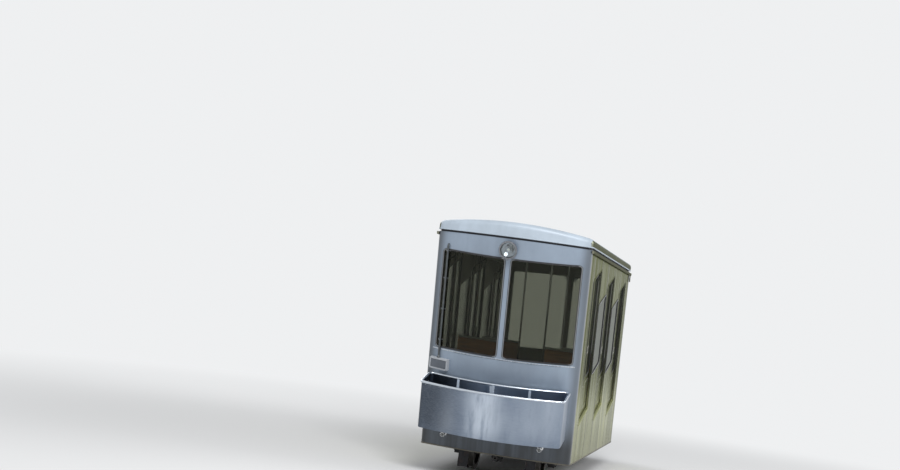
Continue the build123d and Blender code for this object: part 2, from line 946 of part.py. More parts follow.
tread_radius = wheel_radius - flange_height
axle_half = beam_spacing / 2 + journal_length / 2
wheel_places = ((-gauge / 2, guided_wheel_width), (gauge / 2, plain_wheel_width))
guided_edges = (-gauge / 2 - guided_wheel_width / 2, -gauge / 2 + guided_wheel_width / 2)
plain_edges = (gauge / 2 - plain_wheel_width / 2, gauge / 2 + plain_wheel_width / 2)
for end, place in zip(ends, axle_places):
    with BuildPart() as wheelset:
        axle = Plane(origin=(0, place, wheel_radius), x_dir=(1, 0, 0), z_dir=(0, -1, 0))
        with BuildSketch(axle):
            band(-axle_half, axle_half, 0, journal_radius)
            band(-gauge / 2 - hub_length / 2, gauge / 2 + hub_length / 2, 0, axle_radius)
            for centre, width in wheel_places:
                rim_start = centre - width / 2
                band(centre - hub_length / 2, centre + hub_length / 2, 0, hub_radius)
                band(centre - wheel_web / 2, centre + wheel_web / 2, 0, tread_radius)
                band(rim_start, rim_start + width, tread_radius - wheel_rim_depth, tread_radius)
            band(guided_edges[0], guided_edges[0] + flange_width, tread_radius, wheel_radius)
            band(guided_edges[1] - flange_width, guided_edges[1], tread_radius, wheel_radius)
            band(plain_edges[0], plain_edges[1], tread_radius, wheel_radius)
        revolve(axis=Axis(axle.origin, axle.x_dir))
    keep(wheelset, f"{end}_wheelset")

with BuildPart() as axle_boxes:
    for place in axle_places:
        with Locations(*[(x, place, wheel_radius) for x in beam_lines]):
            Box(axle_box_width, axle_box_length, axle_box_height)
            Cylinder(
                journal_radius + running_clearance,
                axle_box_width,
                rotation=(0, 90, 0),
                mode=Mode.SUBTRACT,
            )
keep(axle_boxes, "axle_boxes")

box_top = wheel_radius + axle_box_height / 2
with BuildPart() as axle_springs:
    for place in axle_places:
        for x in beam_lines:
            for shift in (-spring_spacing / 2, spring_spacing / 2):
                with Locations((x, place + shift, box_top)):
                    Cylinder(spring_radius, beam_bottom - box_top, align=upright)
keep(axle_springs, "axle_springs")

# Rail brake under the middle cross-member, with jaws either side of the guiding rail
brake_y = front_y + cross_places[2]
jaw_reach = (brake_slot + brake_jaw) / 2
with BuildPart() as rail_brake:
    with Locations((-gauge / 2, brake_y, brake_body_bottom)):
        Box(brake_width, brake_length, cross_bottom - brake_body_bottom, align=upright)
    for jaw_x in (-gauge / 2 - jaw_reach, -gauge / 2 + jaw_reach):
        with Locations((jaw_x, brake_y, brake_bottom)):
            Box(brake_jaw, brake_length, brake_body_bottom - brake_bottom, align=upright)
keep(rail_brake, "rail_brake")

# Haul-rope socket on cheeks under the uphill cross-member
socket_y = front_y + cross_places[0]
cheek_bottom = socket_height - socket_large_radius
with BuildPart() as rope_socket:
    with Locations(
        (-socket_large_radius, socket_y, cheek_bottom), (socket_large_radius, socket_y, cheek_bottom)
    ):
        Box(socket_cheek, cross_width, cross_bottom - cheek_bottom, align=upright)
    with BuildSketch(Plane(origin=(0, socket_y + socket_reach / 2, socket_height))):
        with BuildLine():
            Polyline(
                (rope_radius, 0),
                (socket_large_radius, 0),
                (socket_large_radius, -socket_reach),
                (socket_small_radius, -socket_length),
                (rope_radius, -socket_length),
                (rope_radius, 0),
            )
        make_face()
    revolve(axis=Axis((0, 0, socket_height), (0, 1, 0)))
keep(rope_socket, "rope_socket")

with BuildPart() as rail_guards:
    for place in (cross_places[0], cross_places[-1]):
        for x in (-gauge / 2, gauge / 2):
            with Locations((x, front_y + place, guard_bottom)):
                Box(guard_width, guard_thickness, cross_bottom - guard_bottom, align=upright)
keep(rail_guards, "rail_guards")

size = Compound(children=made).bounding_box()
print(len(made), "pieces, from", size.min, "to", size.max)
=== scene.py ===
"""Looks for the funicular car: materials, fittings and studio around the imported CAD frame."""
import json
import math
from itertools import product

import bmesh
import bpy
from mathutils import Matrix, Vector


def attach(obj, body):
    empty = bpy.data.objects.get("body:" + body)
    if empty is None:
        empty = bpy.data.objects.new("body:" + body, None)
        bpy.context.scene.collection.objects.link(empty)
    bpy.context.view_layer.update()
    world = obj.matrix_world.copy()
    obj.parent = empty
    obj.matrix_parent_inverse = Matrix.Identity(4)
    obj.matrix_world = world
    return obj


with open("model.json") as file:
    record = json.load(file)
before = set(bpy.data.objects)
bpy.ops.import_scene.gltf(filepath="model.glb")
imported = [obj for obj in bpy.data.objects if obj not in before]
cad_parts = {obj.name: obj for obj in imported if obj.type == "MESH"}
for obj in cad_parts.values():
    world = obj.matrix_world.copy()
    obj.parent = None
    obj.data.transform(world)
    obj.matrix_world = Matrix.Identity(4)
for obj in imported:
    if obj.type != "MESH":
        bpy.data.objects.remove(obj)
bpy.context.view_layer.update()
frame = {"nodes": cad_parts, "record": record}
nodes = frame["nodes"]
scene = bpy.context.scene

# Main sizes of the CAD model, in metres
SLOPE = math.radians(13.3)
C, S, T = math.cos(SLOPE), math.sin(SLOPE), math.tan(SLOPE)
LENGTH, HALF, WALL, RIDE = 6.0, 1.1, 3.07, 0.35
BOW, PANEL, BAY, CORNER = 0.2, 0.55, 0.98, 0.06
RIM, RIM_RADIUS, TUB_FLOOR, TUB_BACK, TUB_FRONT = 1.11, 0.017, 0.445, 0.1, 0.6
TUB_MIDDLE = (TUB_BACK + TUB_FRONT) / 2
REACH = BOW + TUB_FRONT
FRONT = -(LENGTH + REACH * C - TUB_FLOOR * S - (REACH * C + RIM * S + RIM_RADIUS)) / 2
RADIUS = (HALF**2 + BOW**2) / (2 * BOW)
LEVEL_BAY = BAY * C
LEVEL_LENGTH = LENGTH * C
STARTS = (0.04, (PANEL + BAY) * C, (PANEL + 3 * BAY) * C)
DROP = 2 * BAY * S
MIDDLE_LANDING = (0.35 - STARTS[1] * S) / C
LANDINGS = (MIDDLE_LANDING + DROP, MIDDLE_LANDING, MIDDLE_LANDING - DROP)
DOOR_BAYS, WINDOW_BAYS = (0, 2, 4), (1, 3)
DOOR_HEAD = 2.15
SILL, SCREEN_HEAD, SCREEN_CORNER = 1.49, 2.915, 0.045
MULLION = -0.032
SCREENS = ((-0.995, MULLION - 0.044), (MULLION + 0.044, 0.995))
LAMP_HEIGHTS = {"uphill": 3.055, "downhill": 2.925}
MARKERS = (MULLION - 0.71, MULLION + 0.71)
MARKER_HEIGHT, MARKER_DEPTH = 0.243, 0.11
STRAPS = (-0.57, -0.05, 0.47)
LEAF_FACE, LEAF_BACK, LEAF_WIDTH = 1.064, 1.034, LEVEL_BAY / 2 + 0.022
AISLE, CABIN, CEILING = 0.35, 0.995, WALL - 0.02
BEAM, WHEEL = 0.72, 0.32
AXLES = tuple(FRONT + LENGTH / 2 - 0.15 + shift for shift in (-1.8, 1.8))
ROOF_BASE = RIDE + WALL + 0.03
ROOF_CROWN = ROOF_BASE + 0.21
ROOF_MIDDLE = FRONT + LENGTH / 2 - T * WALL
ROOF_HALF, ROOF_RISE = 1.112, 0.09
ROOF_ARCH = (ROOF_HALF**2 + ROOF_RISE**2) / (2 * ROOF_RISE)
ENDS, SIDES, SIDE_NAMES = ("uphill", "downhill"), (1, -1), ("right", "left")
PLUMB, LEVEL = Vector((0, -S, C)), Vector((0, C, S))


def bay_start(i):
    return (PANEL + i * BAY) * C


def bulge(x, out=0.0):
    return math.sqrt((RADIUS + out) ** 2 - x * x) - (RADIUS - BOW)


def side_point(x, a, b):
    """Row-frame point at x, level distance a and plumb height b from the uphill corner."""
    return Vector((x, FRONT + a * C - b * S, RIDE + a * S + b * C))


def plumb_of(height, a):
    """Plumb height of a line that runs along the rails at a height over the skirt."""
    return (height - a * S) / C


def end_point(end, x, h, out):
    """Row-frame point on an end: x across, plumb height h, and out from its flat chord."""
    if end == "uphill":
        return Vector((x, FRONT - out * C - h * S, RIDE + h * C - out * S))
    return Vector((-x, FRONT + LENGTH + out * C - h * S, RIDE + h * C + out * S))


def placed(origin, across, upward):
    """Frame with x across, y upward and z out of the surface."""
    across = Vector(across).normalized()
    out = across.cross(Vector(upward)).normalized()
    return Matrix.Translation(origin) @ Matrix((across, out.cross(across), out)).transposed().to_4x4()


def shifted(place, x, y, z):
    """Frame moved along its own axes."""
    return place @ Matrix.Translation((x, y, z))


def on_side(side, a, b, out=0.0):
    """Frame on a side wall's outer face, or a distance outside it."""
    return placed(side_point(side * (HALF + out), a, b), side * LEVEL, PLUMB)


def on_landing(x, a, b):
    """Level frame with z up, at plumb height b."""
    return placed(side_point(x, a, b), (1, 0, 0), LEVEL)


def on_chord(end, x, h, out):
    """Frame parallel to an end's flat chord."""
    return placed(end_point(end, x, h, out), (1 if end == "uphill" else -1, 0, 0), PLUMB)


def on_skin(end, x, h, proud=0.0):
    """Frame on an end's bowed skin, or a distance proud of it."""
    step = 0.001
    ahead = end_point(end, x + step, h, bulge(x + step, proud))
    here = end_point(end, x, h, bulge(x, proud))
    return placed(here, ahead - here, PLUMB)


def on_roof(x, y):
    """Frame on the roof's arch: its z points out of the sheet."""
    turn = math.asin(x / ROOF_ARCH)
    z = ROOF_CROWN - ROOF_ARCH * (1 - math.cos(turn))
    return placed((x, y, z), (math.cos(turn), 0, -math.sin(turn)), (0, 1, 0))


# Camera at the photograph's viewpoint
yaw, pitch, roll = math.radians(-12.30), math.radians(2.85), math.radians(7.96)
eye = (3.597, -21.52 + FRONT, 2.317)
forward = Vector((math.sin(yaw) * math.cos(pitch), math.cos(yaw) * math.cos(pitch), math.sin(pitch)))
level_right = Vector((math.cos(yaw), -math.sin(yaw), 0))
level_up = level_right.cross(forward)
right = level_right * math.cos(roll) + level_up * math.sin(roll)
up = level_up * math.cos(roll) - level_right * math.sin(roll)
camera_data = bpy.data.cameras.new("photo_camera")
camera_data.lens = 60
camera_data.sensor_width = 36
camera_data.clip_end = 400
camera = bpy.data.objects.new("photo_camera", camera_data)
camera.matrix_world = Matrix.Translation(eye) @ Matrix((right, up, -forward)).transposed().to_4x4()
scene.collection.objects.link(camera)
scene.camera = camera
scene.view_settings.view_transform = "Standard"


# Node materials
class Tree:
    """A node tree, with short ways to add to it."""

    def __init__(self, tree):
        self.tree = tree

    def put(self, value, socket):
        """Link a source to a socket, or set its number, vector or colour."""
        if isinstance(value, bpy.types.NodeSocket):
            self.tree.links.new(value, socket)
        elif socket.type == "RGBA":
            socket.default_value = (*value, 1)
        else:
            socket.default_value = value

    def add(self, kind, inputs, **settings):
        """New node with its settings, and a value or a source for each input."""
        node = self.tree.nodes.new(kind)
        for key, value in settings.items():
            setattr(node, key, value)
        for key, value in inputs.items():
            self.put(value, node.inputs[key])
        return node

    def seen(self):
        """1 for rays from the camera, off gloss or through glass."""
        rays = self.add("ShaderNodeLightPath", {}).outputs
        total = rays["Is Camera Ray"]
        for ray in ("Is Glossy Ray", "Is Transmission Ray"):
            total = self.add("ShaderNodeMath", {0: total, 1: rays[ray]}, operation="MAXIMUM").outputs[0]
        return total


class Nodes(Tree):
    """A material's tree around its shader. Its coordinates lean with the walls unless lean is off."""

    def __init__(self, name, color, rough, metal=0.0, coat=0.0, lean=True):
        self.mat = bpy.data.materials.new(name)
        self.mat.use_nodes = True
        super().__init__(self.mat.node_tree)
        self.shader = self.tree.nodes["Principled BSDF"]
        self.set("Base Color", color)
        self.set("Roughness", rough)
        self.set("Metallic", metal)
        self.set("Coat Weight", coat)
        self.raw = self.add("ShaderNodeTexCoord", {}).outputs["Object"]
        self.place = self.raw
        if lean:
            turn = {"Vector": self.raw, "Rotation": (-SLOPE, 0, 0)}
            self.place = self.add("ShaderNodeMapping", turn).outputs["Vector"]
        self.height = None

    def set(self, name, value):
        self.put(value, self.shader.inputs[name])

    def noise(self, scale, stretch=(1, 1, 1), detail=4, rough=0.55, offset=(0, 0, 0)):
        mapping = self.add("ShaderNodeMapping", {"Vector": self.place, "Scale": stretch, "Location": offset})
        return self.add("ShaderNodeTexNoise", {
            "Vector": mapping.outputs["Vector"], "Scale": scale, "Detail": detail, "Roughness": rough,
        }).outputs["Fac"]

    def ramp(self, source, low, high, dark=(0, 0, 0), light=(1, 1, 1)):
        ramp = self.add("ShaderNodeValToRGB", {"Fac": source})
        for stop, place, color in zip(ramp.color_ramp.elements, (low, high), (dark, light)):
            stop.position = place
            stop.color = (*color, 1)
        return ramp.outputs["Color"]

    def mix(self, fac, a, b):
        return self.add("ShaderNodeMix", {"Factor": fac, 6: a, 7: b}, data_type="RGBA").outputs[2]

    def times(self, *factors):
        """Product of sockets and numbers."""
        total = factors[0]
        for factor in factors[1:]:
            total = self.add("ShaderNodeMath", {0: total, 1: factor}, operation="MULTIPLY").outputs[0]
        return total

    def smooth(self, source, start, stop):
        """0 to 1 as a source goes from start to stop."""
        span = {"Value": source, "From Min": start, "From Max": stop}
        return self.add("ShaderNodeMapRange", span, interpolation_type="SMOOTHSTEP").outputs["Result"]

    def between(self, axis, start, stop):
        """0 to 1 as the object's own coordinate goes from start to stop."""
        split = self.add("ShaderNodeSeparateXYZ", {"Vector": self.raw})
        return self.smooth(split.outputs[axis], start, stop)

    def paint(self, color):
        self.set("Base Color", color)

    def roughen(self, source, low, high, name="Roughness"):
        spread = self.add("ShaderNodeMapRange", {"Value": source, "To Min": low, "To Max": high})
        self.set(name, spread.outputs["Result"])

    def bump(self, source, strength, distance):
        inputs = {"Height": source, "Strength": strength, "Distance": distance}
        if self.height is not None:
            inputs["Normal"] = self.height
        self.height = self.add("ShaderNodeBump", inputs).outputs["Normal"]
        self.set("Normal", self.height)


def tone(color, factor):
    return tuple(min(1, max(0, v * factor)) for v in color)


# Dark tone of grime at the skirt, also used for painted shade
GRIME_AND_SHADE, DUST, RUST = (0.036, 0.04, 0.044), (0.2, 0.17, 0.11), (0.13, 0.06, 0.03)
BUCKLES, BRUSHING = (2.6, (1, 1.6, 0.16), 2, 0.4), (110, (1, 1, 0.015), 3)


def painted(name, color, rough, metal, coat, share):
    """Sprayed paint with slight orange peel, cloudy weathering, painted shade on the corner posts, and grime
    mixed with painted shade that thickens at the skirt.
    """
    m = Nodes(name, color, rough, metal, coat)
    m.set("Coat Roughness", 0.25)
    cloud = m.noise(1.5, (1, 1, 0.5), 6)
    streak = m.noise(9, (1, 1, 0.06), 5)
    base = m.mix(m.ramp(cloud, 0.38, 0.64), tone(color, 0.86), tone(color, 1.1))
    base = m.mix(m.times(m.ramp(streak, 0.52, 0.8), 0.25), base, tone(color, 0.72))
    # Painted shade on the corner posts, heavier on the -X post
    for corner, corner_shade in ((1, 0.68), (-1, 0.88)):
        shaded_corner = m.times(m.between("X", corner * 0.93, corner * 1.08), corner_shade * share)
        base = m.mix(shaded_corner, base, tone(GRIME_AND_SHADE, 2.2))
    # Grime and painted shade, thickening towards the skirt
    grime_and_shade = m.times(m.between("Z", 1.0, 0.56), m.ramp(streak, 0.1, 0.62, (0.7, 0.7, 0.7)), share)
    m.paint(m.mix(grime_and_shade, base, GRIME_AND_SHADE))
    m.roughen(cloud, rough - 0.06, rough + 0.12)
    m.bump(m.noise(420, detail=2), 0.04, 0.0006)
    return m.mat


def steel(name, color, rough, wave, grain=0.35, share=0.3, edge=(1, 1, 1)):
    """Rolled stainless sheet: fine upright grain, slow buckles and a dusty foot."""
    m = Nodes(name, color, rough, 1.0)
    m.set("Specular Tint", edge)
    brush = m.noise(*BRUSHING)
    cloud = m.noise(1.1, (1, 1, 0.6), 5)
    base = m.mix(m.ramp(brush, 0.3, 0.75), tone(color, 0.9), tone(color, 1.06))
    base = m.mix(m.times(m.ramp(cloud, 0.4, 0.75), 0.5), base, tone(color, 0.78))
    dusty = m.times(m.between("Z", 1.1, 0.3), m.ramp(m.noise(6, (1, 1, 0.1), 5), 0.3, 0.8), share)
    m.paint(m.mix(dusty, base, DUST))
    m.roughen(m.mix(0.5, brush, cloud), rough - 0.07, rough + 0.1)
    m.bump(m.noise(*BUCKLES), wave, 0.02)
    m.bump(brush, grain, 0.0004)
    return m.mat


def side_sheet(name, rough=0.17):
    """Mirror-polished side sheet with upright buckles and dust at the foot. Its colours are painted
    reflections: dark olive above and lime-yellow below, which is partly a pollen layer, with upright
    streaks, wide dark bands, bright fine glints and a dark strip along the windows; its olive edge tint
    colours the glancing reflections.
    """
    m = Nodes(name, (0.3, 0.3, 0.26), rough, 1.0)
    # Olive edge tint: painted reflection colour at glancing angles
    m.set("Specular Tint", (0.38, 0.40, 0.24))
    streak = m.ramp(m.noise(5.2, (1, 1, 0.09), 4, 0.5), 0.36, 0.62)
    fine = m.noise(21, (1, 1, 0.05), 3, 0.5)
    cloud = m.noise(1.4, (1, 1, 0.55), 5)
    broad_reflection_bands = m.ramp(m.noise(1.9, (1, 1, 0.16), 2, 0.4, (0, 0.3, 0)), 0.4, 0.6)
    # Dark olive above, lime-yellow below with upright streaks: painted reflections; the tone below is partly
    # a pollen layer
    upper_reflection = m.mix(streak, (0.11, 0.115, 0.09), (0.25, 0.26, 0.21))
    lower_reflection_and_pollen = m.mix(streak, (0.5, 0.51, 0.3), (0.8, 0.8, 0.5))
    film_and_reflection = m.between("Z", 1.85, 0.95)
    base = m.mix(film_and_reflection, upper_reflection, lower_reflection_and_pollen)
    # Wide dark bands: painted reflections
    base = m.mix(m.times(broad_reflection_bands, 0.72), base, m.mix(film_and_reflection, (0.07, 0.075, 0.05), (0.13, 0.14, 0.07)))
    # Dark strip along the windows: painted reflection
    belt_reflection = m.times(m.between("Z", 2.95, 2.45), m.between("Z", 1.2, 1.7), 0.6)
    base = m.mix(belt_reflection, base, (0.075, 0.08, 0.068))
    # Bright fine streaks: painted glints
    base = m.mix(m.times(m.ramp(fine, 0.42, 0.7), 0.28), base, (0.42, 0.43, 0.36))
    base = m.mix(m.times(m.ramp(cloud, 0.45, 0.7), 0.3), base, (0.19, 0.19, 0.15))
    foot = m.times(m.between("Z", 0.75, 0.36), m.ramp(fine, 0.3, 0.7), 0.55)
    m.paint(m.mix(foot, base, (0.24, 0.2, 0.13)))
    m.roughen(m.mix(0.5, fine, cloud), rough - 0.06, rough + 0.12)
    m.roughen(film_and_reflection, 1.0, 0.62, "Metallic")
    m.bump(m.noise(*BUCKLES), 0.8, 0.02)
    m.bump(m.noise(*BRUSHING), 0.25, 0.0004)
    return m.mat


def tub_sheet(name, dark, light, rough=0.3, metal=1.0, shade_and_highlight_bands=True):
    """Dull basket sheet with fine brushing and stains. Its soft bright and dark patches are painted
    reflections; on the outside an upright bright strip is a painted highlight, the ends carry painted shade,
    and it grows darker towards the bottom.
    """
    m = Nodes(name, light, rough, metal)
    patch = m.noise(1.5, (1, 1, 0.5), 2, 0.4, (0.1, 0, 0.2))
    brush = m.noise(130, (0.012, 1, 1), 3)
    stain = m.noise(11, (1, 1, 0.22), 5)
    # Soft bright and dark patches: painted reflections
    base = m.mix(m.ramp(patch, 0.38, 0.62), dark, light)
    if shade_and_highlight_bands:
        # Upright bright strip: painted highlight
        highlight_band = m.times(m.between("X", -0.5, -0.08), m.between("X", 0.3, -0.08), m.ramp(stain, 0.25, 0.6))
        base = m.mix(m.times(highlight_band, 0.9), base, tone(light, 1.2))
        # Painted shade towards both ends, heaviest at the left, and darker towards the bottom
        for axis, start, stop, share, depth in (
            ("X", -0.15, -0.86, 0.95, 0.3),
            ("X", 0.15, 0.5, 0.48, 1.1),
            ("X", 0.8, 1.0, 0.4, 1.1),
            ("Z", 0.8, 0.5, 0.5, 0.8),
        ):
            base = m.mix(m.times(m.between(axis, start, stop), share), base, tone(dark, depth))
    base = m.mix(m.times(m.ramp(stain, 0.5, 0.82), 0.35), base, tone(dark, 0.8))
    m.paint(m.mix(m.times(m.ramp(brush, 0.35, 0.7), 0.1), base, tone(light, 1.08)))
    m.roughen(m.mix(0.2, stain, brush), rough - 0.06, rough + 0.12)
    m.bump(patch, 0.5, 0.03)
    m.bump(brush, 0.04, 0.0003)
    return m.mat


def glass(name, color, rough=0.02, wave=0.03, edge=(0.36, 0.38, 0.33), film_and_reflection=0.0):
    """Window glass with faint roller waves and a little dust. Its edge colour tints the reflections, dimming
    them as painted reflection where it is dark, and a dark metallic layer at grazing angles, when asked for,
    paints a dark reflection over them.
    """
    m = Nodes(name, color, rough)
    m.set("Specular Tint", edge)
    m.set("Transmission Weight", 1.0)
    m.set("IOR", 1.45)
    # Dark metallic layer at grazing angles: a painted dark reflection
    if film_and_reflection:
        facing = m.add("ShaderNodeLayerWeight", {}).outputs["Facing"]
        m.set("Metallic", m.ramp(facing, 0.78, 0.9, light=(film_and_reflection, film_and_reflection, film_and_reflection)))
    dust = m.noise(3.2, (1, 1, 0.6), 5)
    m.roughen(m.ramp(dust, 0.45, 0.9), rough, rough + 0.05)
    m.bump(m.noise(1.6, (1, 1, 0.3), 2), wave, 0.01)
    return m.mat


def rubber(name, color=(0.022, 0.022, 0.024)):
    """Weathered rubber with a chalky bloom."""
    m = Nodes(name, color, 0.62, lean=False)
    bloom = m.noise(14, detail=5)
    m.paint(m.mix(m.ramp(bloom, 0.45, 0.85), color, tone(color, 2.4)))
    m.roughen(bloom, 0.52, 0.77)
    m.bump(m.noise(300, detail=3), 0.15, 0.0008)
    return m.mat


def iron(name, color, rough, metal, share=0.45):
    """Cast or rolled iron under old paint, with rust and brake dust in patches."""
    m = Nodes(name, color, rough, metal, lean=False)
    patch = m.noise(7, detail=8, rough=0.65)
    base = m.mix(m.ramp(m.noise(28, detail=6), 0.4, 0.7), tone(color, 0.75), tone(color, 1.25))
    m.paint(m.mix(m.times(m.ramp(patch, 0.5, 0.72), share), base, RUST))
    m.roughen(patch, rough - 0.12, rough + 0.2)
    m.bump(m.noise(140, detail=6), 0.25, 0.0015)
    return m.mat


def wood(name, color):
    """Varnished boards with grain along the seat and slow changes of tone."""
    m = Nodes(name, color, 0.32, 0.0, 0.45)
    m.set("Coat Roughness", 0.12)
    grain = m.noise(46, (0.06, 1, 1), 7, 0.6)
    figure = m.noise(9, (0.06, 1, 1), 4, 0.5)
    base = m.mix(m.ramp(grain, 0.3, 0.72), tone(color, 0.55), tone(color, 1.25))
    m.paint(m.mix(m.times(m.ramp(figure, 0.4, 0.7), 0.55), base, tone(color, 0.7)))
    m.roughen(grain, 0.26, 0.42)
    m.bump(grain, 0.12, 0.0006)
    return m.mat


def plastic(name, color, rough):
    """Moulded plastic with a fine spark texture and sun-faded patches."""
    m = Nodes(name, color, rough)
    fade = m.noise(5, detail=5)
    m.paint(m.mix(m.ramp(fade, 0.35, 0.75), tone(color, 0.88), tone(color, 1.06)))
    m.roughen(fade, rough - 0.05, rough + 0.12)
    m.bump(m.noise(600, detail=2), 0.08, 0.0004)
    return m.mat


# Panes: the dark tint is painted shade for the dim view through them; the dark edge colour and the grazing
# layer are painted reflections
DARK_PANE = {"color": (0.27, 0.28, 0.25), "edge": (0.16, 0.18, 0.14), "film_and_reflection": 0.92}
look = {
    "side_steel": side_sheet("polished_side_sheet"),
    "end_paint": painted("end_wall_paint", (0.275, 0.335, 0.415), 0.34, 0.35, 0.35, 0.95),
    "roof_paint": painted("roof_paint", (0.405, 0.47, 0.54), 0.46, 0.1, 0.15, 0.1),
    "ceiling_paint": painted("ceiling_paint", (0.62, 0.62, 0.58), 0.5, 0, 0.1, 0.05),
    # Dark olive gutter trim with an olive edge tint: painted reflection, like the side sheet's tone above
    "gutter_steel": steel("gutter_trim", (0.22, 0.22, 0.17), 0.3, 0.1, share=0.05, edge=(0.24, 0.25, 0.185)),
    # Windscreen glass: its dark tint is painted shade for the dim view through it, its olive edge colour a
    # painted reflection
    "screen_glass": glass("windscreen_glass", (0.33, 0.34, 0.295)),
    "gasket_rubber": rubber("windscreen_rubber"),
    "window_glass": glass("side_glass", **DARK_PANE),
    "window_gasket_rubber": rubber("window_rubber"),
    "rail_steel": steel("door_rail_steel", (0.4, 0.4, 0.4), 0.35, 0.1),
    "lamp_chrome": steel("lamp_shell", (0.45, 0.47, 0.49), 0.2, 0.05),
    "lamp_glass": glass("lamp_lens", (0.78, 0.82, 0.84), 0.06, 0.2, (1, 1, 1)),
    "marker_plastic": plastic("marker_lamp", (0.5, 0.49, 0.47), 0.25),
    "basket_steel": tub_sheet("basket_sheet", (0.18, 0.225, 0.3), (0.55, 0.61, 0.69)),
    "seal_rubber": rubber("roof_joint", (0.03, 0.03, 0.035)),
    "box_plastic": plastic("junction_box", (0.47, 0.49, 0.52), 0.45),
    "conduit_metal": iron("conduit_tube", (0.085, 0.095, 0.1), 0.5, 0.3, 0.1),
    "floor_metal": iron("floor_sheet", (0.16, 0.16, 0.165), 0.5, 0.7, 0.12),
    "bench_wood": wood("bench_boards", (0.52, 0.215, 0.075)),
    "partition_wood": wood("partition_boards", (0.56, 0.235, 0.085)),
    "cap_metal": steel("partition_cap", (0.66, 0.66, 0.63), 0.35, 0.1),
    "pole_steel": steel("grab_pole", (0.62, 0.62, 0.62), 0.16, 0.05),
    "frame_paint": iron("underframe_paint", (0.035, 0.036, 0.04), 0.6, 0.2, 0.3),
    "wheel_iron": iron("wheel_iron", (0.07, 0.065, 0.06), 0.55, 0.7),
    "box_iron": iron("axle_box_iron", (0.05, 0.048, 0.046), 0.6, 0.5),
    "spring_rubber": rubber("axle_pad"),
    "brake_paint": iron("brake_paint", (0.06, 0.06, 0.065), 0.55, 0.4),
    "socket_iron": iron("rope_socket", (0.07, 0.07, 0.07), 0.5, 0.8),
    "guard_paint": iron("guard_paint", (0.05, 0.05, 0.055), 0.6, 0.3),
    "leaf_steel": side_sheet("door_sheet", 0.2),
    "leaf_glass": glass("door_glass", **DARK_PANE),
}
door_trim = steel("door_fittings", (0.36, 0.36, 0.32), 0.28, 0, 0.1, 0)
zinc = steel("zinc_fasteners", (0.5, 0.5, 0.48), 0.38, 0, 0.1)
lining = painted("wall_lining", (0.27, 0.25, 0.19), 0.55, 0, 0.1, 0)
bright_iron = steel("worn_tread", (0.27, 0.255, 0.24), 0.34, 0, 0.3)
# Brighter copy of the basket steel for the rolled rim: a painted highlight
rim_highlight_steel = steel("basket_rim", (0.6, 0.65, 0.71), 0.28, 0, 0.1, 0)
strap_paint = painted("basket_straps", (0.56, 0.64, 0.74), 0.4, 0.2, 0.1, 0)
# Darker, bluer copy of the basket sheet for its inside faces: painted shade
shaded_tub_inside = tub_sheet("basket_inside", (0.2, 0.28, 0.39), (0.37, 0.47, 0.6), 0.4, 0.35, shade_and_highlight_bands=False)
# Dark olive steel with an olive edge tint on the roof's side edge: a painted reflection
roof_band_reflection = steel("roof_band_reflection", (0.2, 0.21, 0.165), 0.3, 0.3, share=0.1, edge=(0.27, 0.28, 0.21))
slot_of = {entry["node"]: entry["material_slot"] for entry in frame["record"]["subparts"]}
for name, node in nodes.items():
    node.data.materials.clear()
    node.data.materials.append(look[slot_of[name]])


def tint_faces(name, mat, test):
    """Give the faces of a CAD node that pass a test another material."""
    mesh = nodes[name].data
    mesh.materials.append(mat)
    for face in mesh.polygons:
        if test(face.normal, face.center):
            face.material_index = len(mesh.materials) - 1


# Faces with a look of their own: linings, basket insides in painted shade, rims with a painted highlight,
# straps, treads and the roof's edge in a dark painted reflection
INSIDE_REACH, STRAP_HALF, TREAD_RADIUS = 0.2435, 0.019, 0.28
for side, side_name in zip(SIDES, SIDE_NAMES):
    inward = [f"{side_name}_side_wall"]
    inward += [f"{side_name}_door_{k}_{way}_leaf" for k in (1, 2, 3) for way in ENDS]
    for name in inward:
        tint_faces(name, lining, lambda n, p, side=side: n.x * side < -0.7)
for sign, end, axle in zip(SIDES, ENDS, AXLES):
    tub, origin = f"{end}_ski_basket", end_point(end, 0, 0, 0)
    middle = end_point(end, 0, 0.8, BOW + TUB_MIDDLE)
    tint_faces(f"{end}_end_wall", lining, lambda n, p, sign=sign: n.dot(LEVEL) * sign > 0.7)
    tint_faces(
        tub, shaded_tub_inside,
        lambda n, p, m=middle: n.dot(Vector((0, m.y - p.y, m.z - p.z))) > 0.02
        and abs(n.dot(PLUMB)) < 0.5 and abs((p - m).dot(LEVEL)) < INSIDE_REACH,
    )
    tint_faces(tub, rim_highlight_steel, lambda n, p, o=origin: abs((p - o).dot(PLUMB) - RIM) < RIM_RADIUS + 0.0005)
    tint_faces(
        tub, strap_paint,
        lambda n, p, o=origin, sign=sign: any(abs(p.x - sign * x) < STRAP_HALF for x in STRAPS)
        and 0.005 < -sign * (p - o).dot(LEVEL) - bulge(p.x, TUB_BACK) < 0.024
        and TUB_FLOOR + 0.01 < (p - o).dot(PLUMB) < RIM - 0.02,
    )
    tint_faces(
        f"{end}_wheelset", bright_iron,
        lambda n, p, y=axle: abs(n.x) < 0.3 and math.hypot(p.y - y, p.z - WHEEL) > TREAD_RADIUS
        and n.dot(p - Vector((p.x, y, WHEEL))) > 0,
    )
# Roof's side edge in its dark painted reflection
tint_faces("roof", roof_band_reflection, lambda n, p: abs(n.x) > 0.75 and abs(p.x) > 1.0)


# Mesh tools for the fittings
POINT, WELD, CREASE = 1e-5, 2.5e-5, math.radians(38)


def turns(count, start=0.0):
    """Angles of equal steps round a circle."""
    return [2 * math.pi * (k + start) / count for k in range(count)]


def round_circle(place, radius, z, count, start=0.0):
    """Frames spaced round a circle on a frame."""
    return [shifted(place, radius * math.cos(t), radius * math.sin(t), z) for t in turns(count, start)]


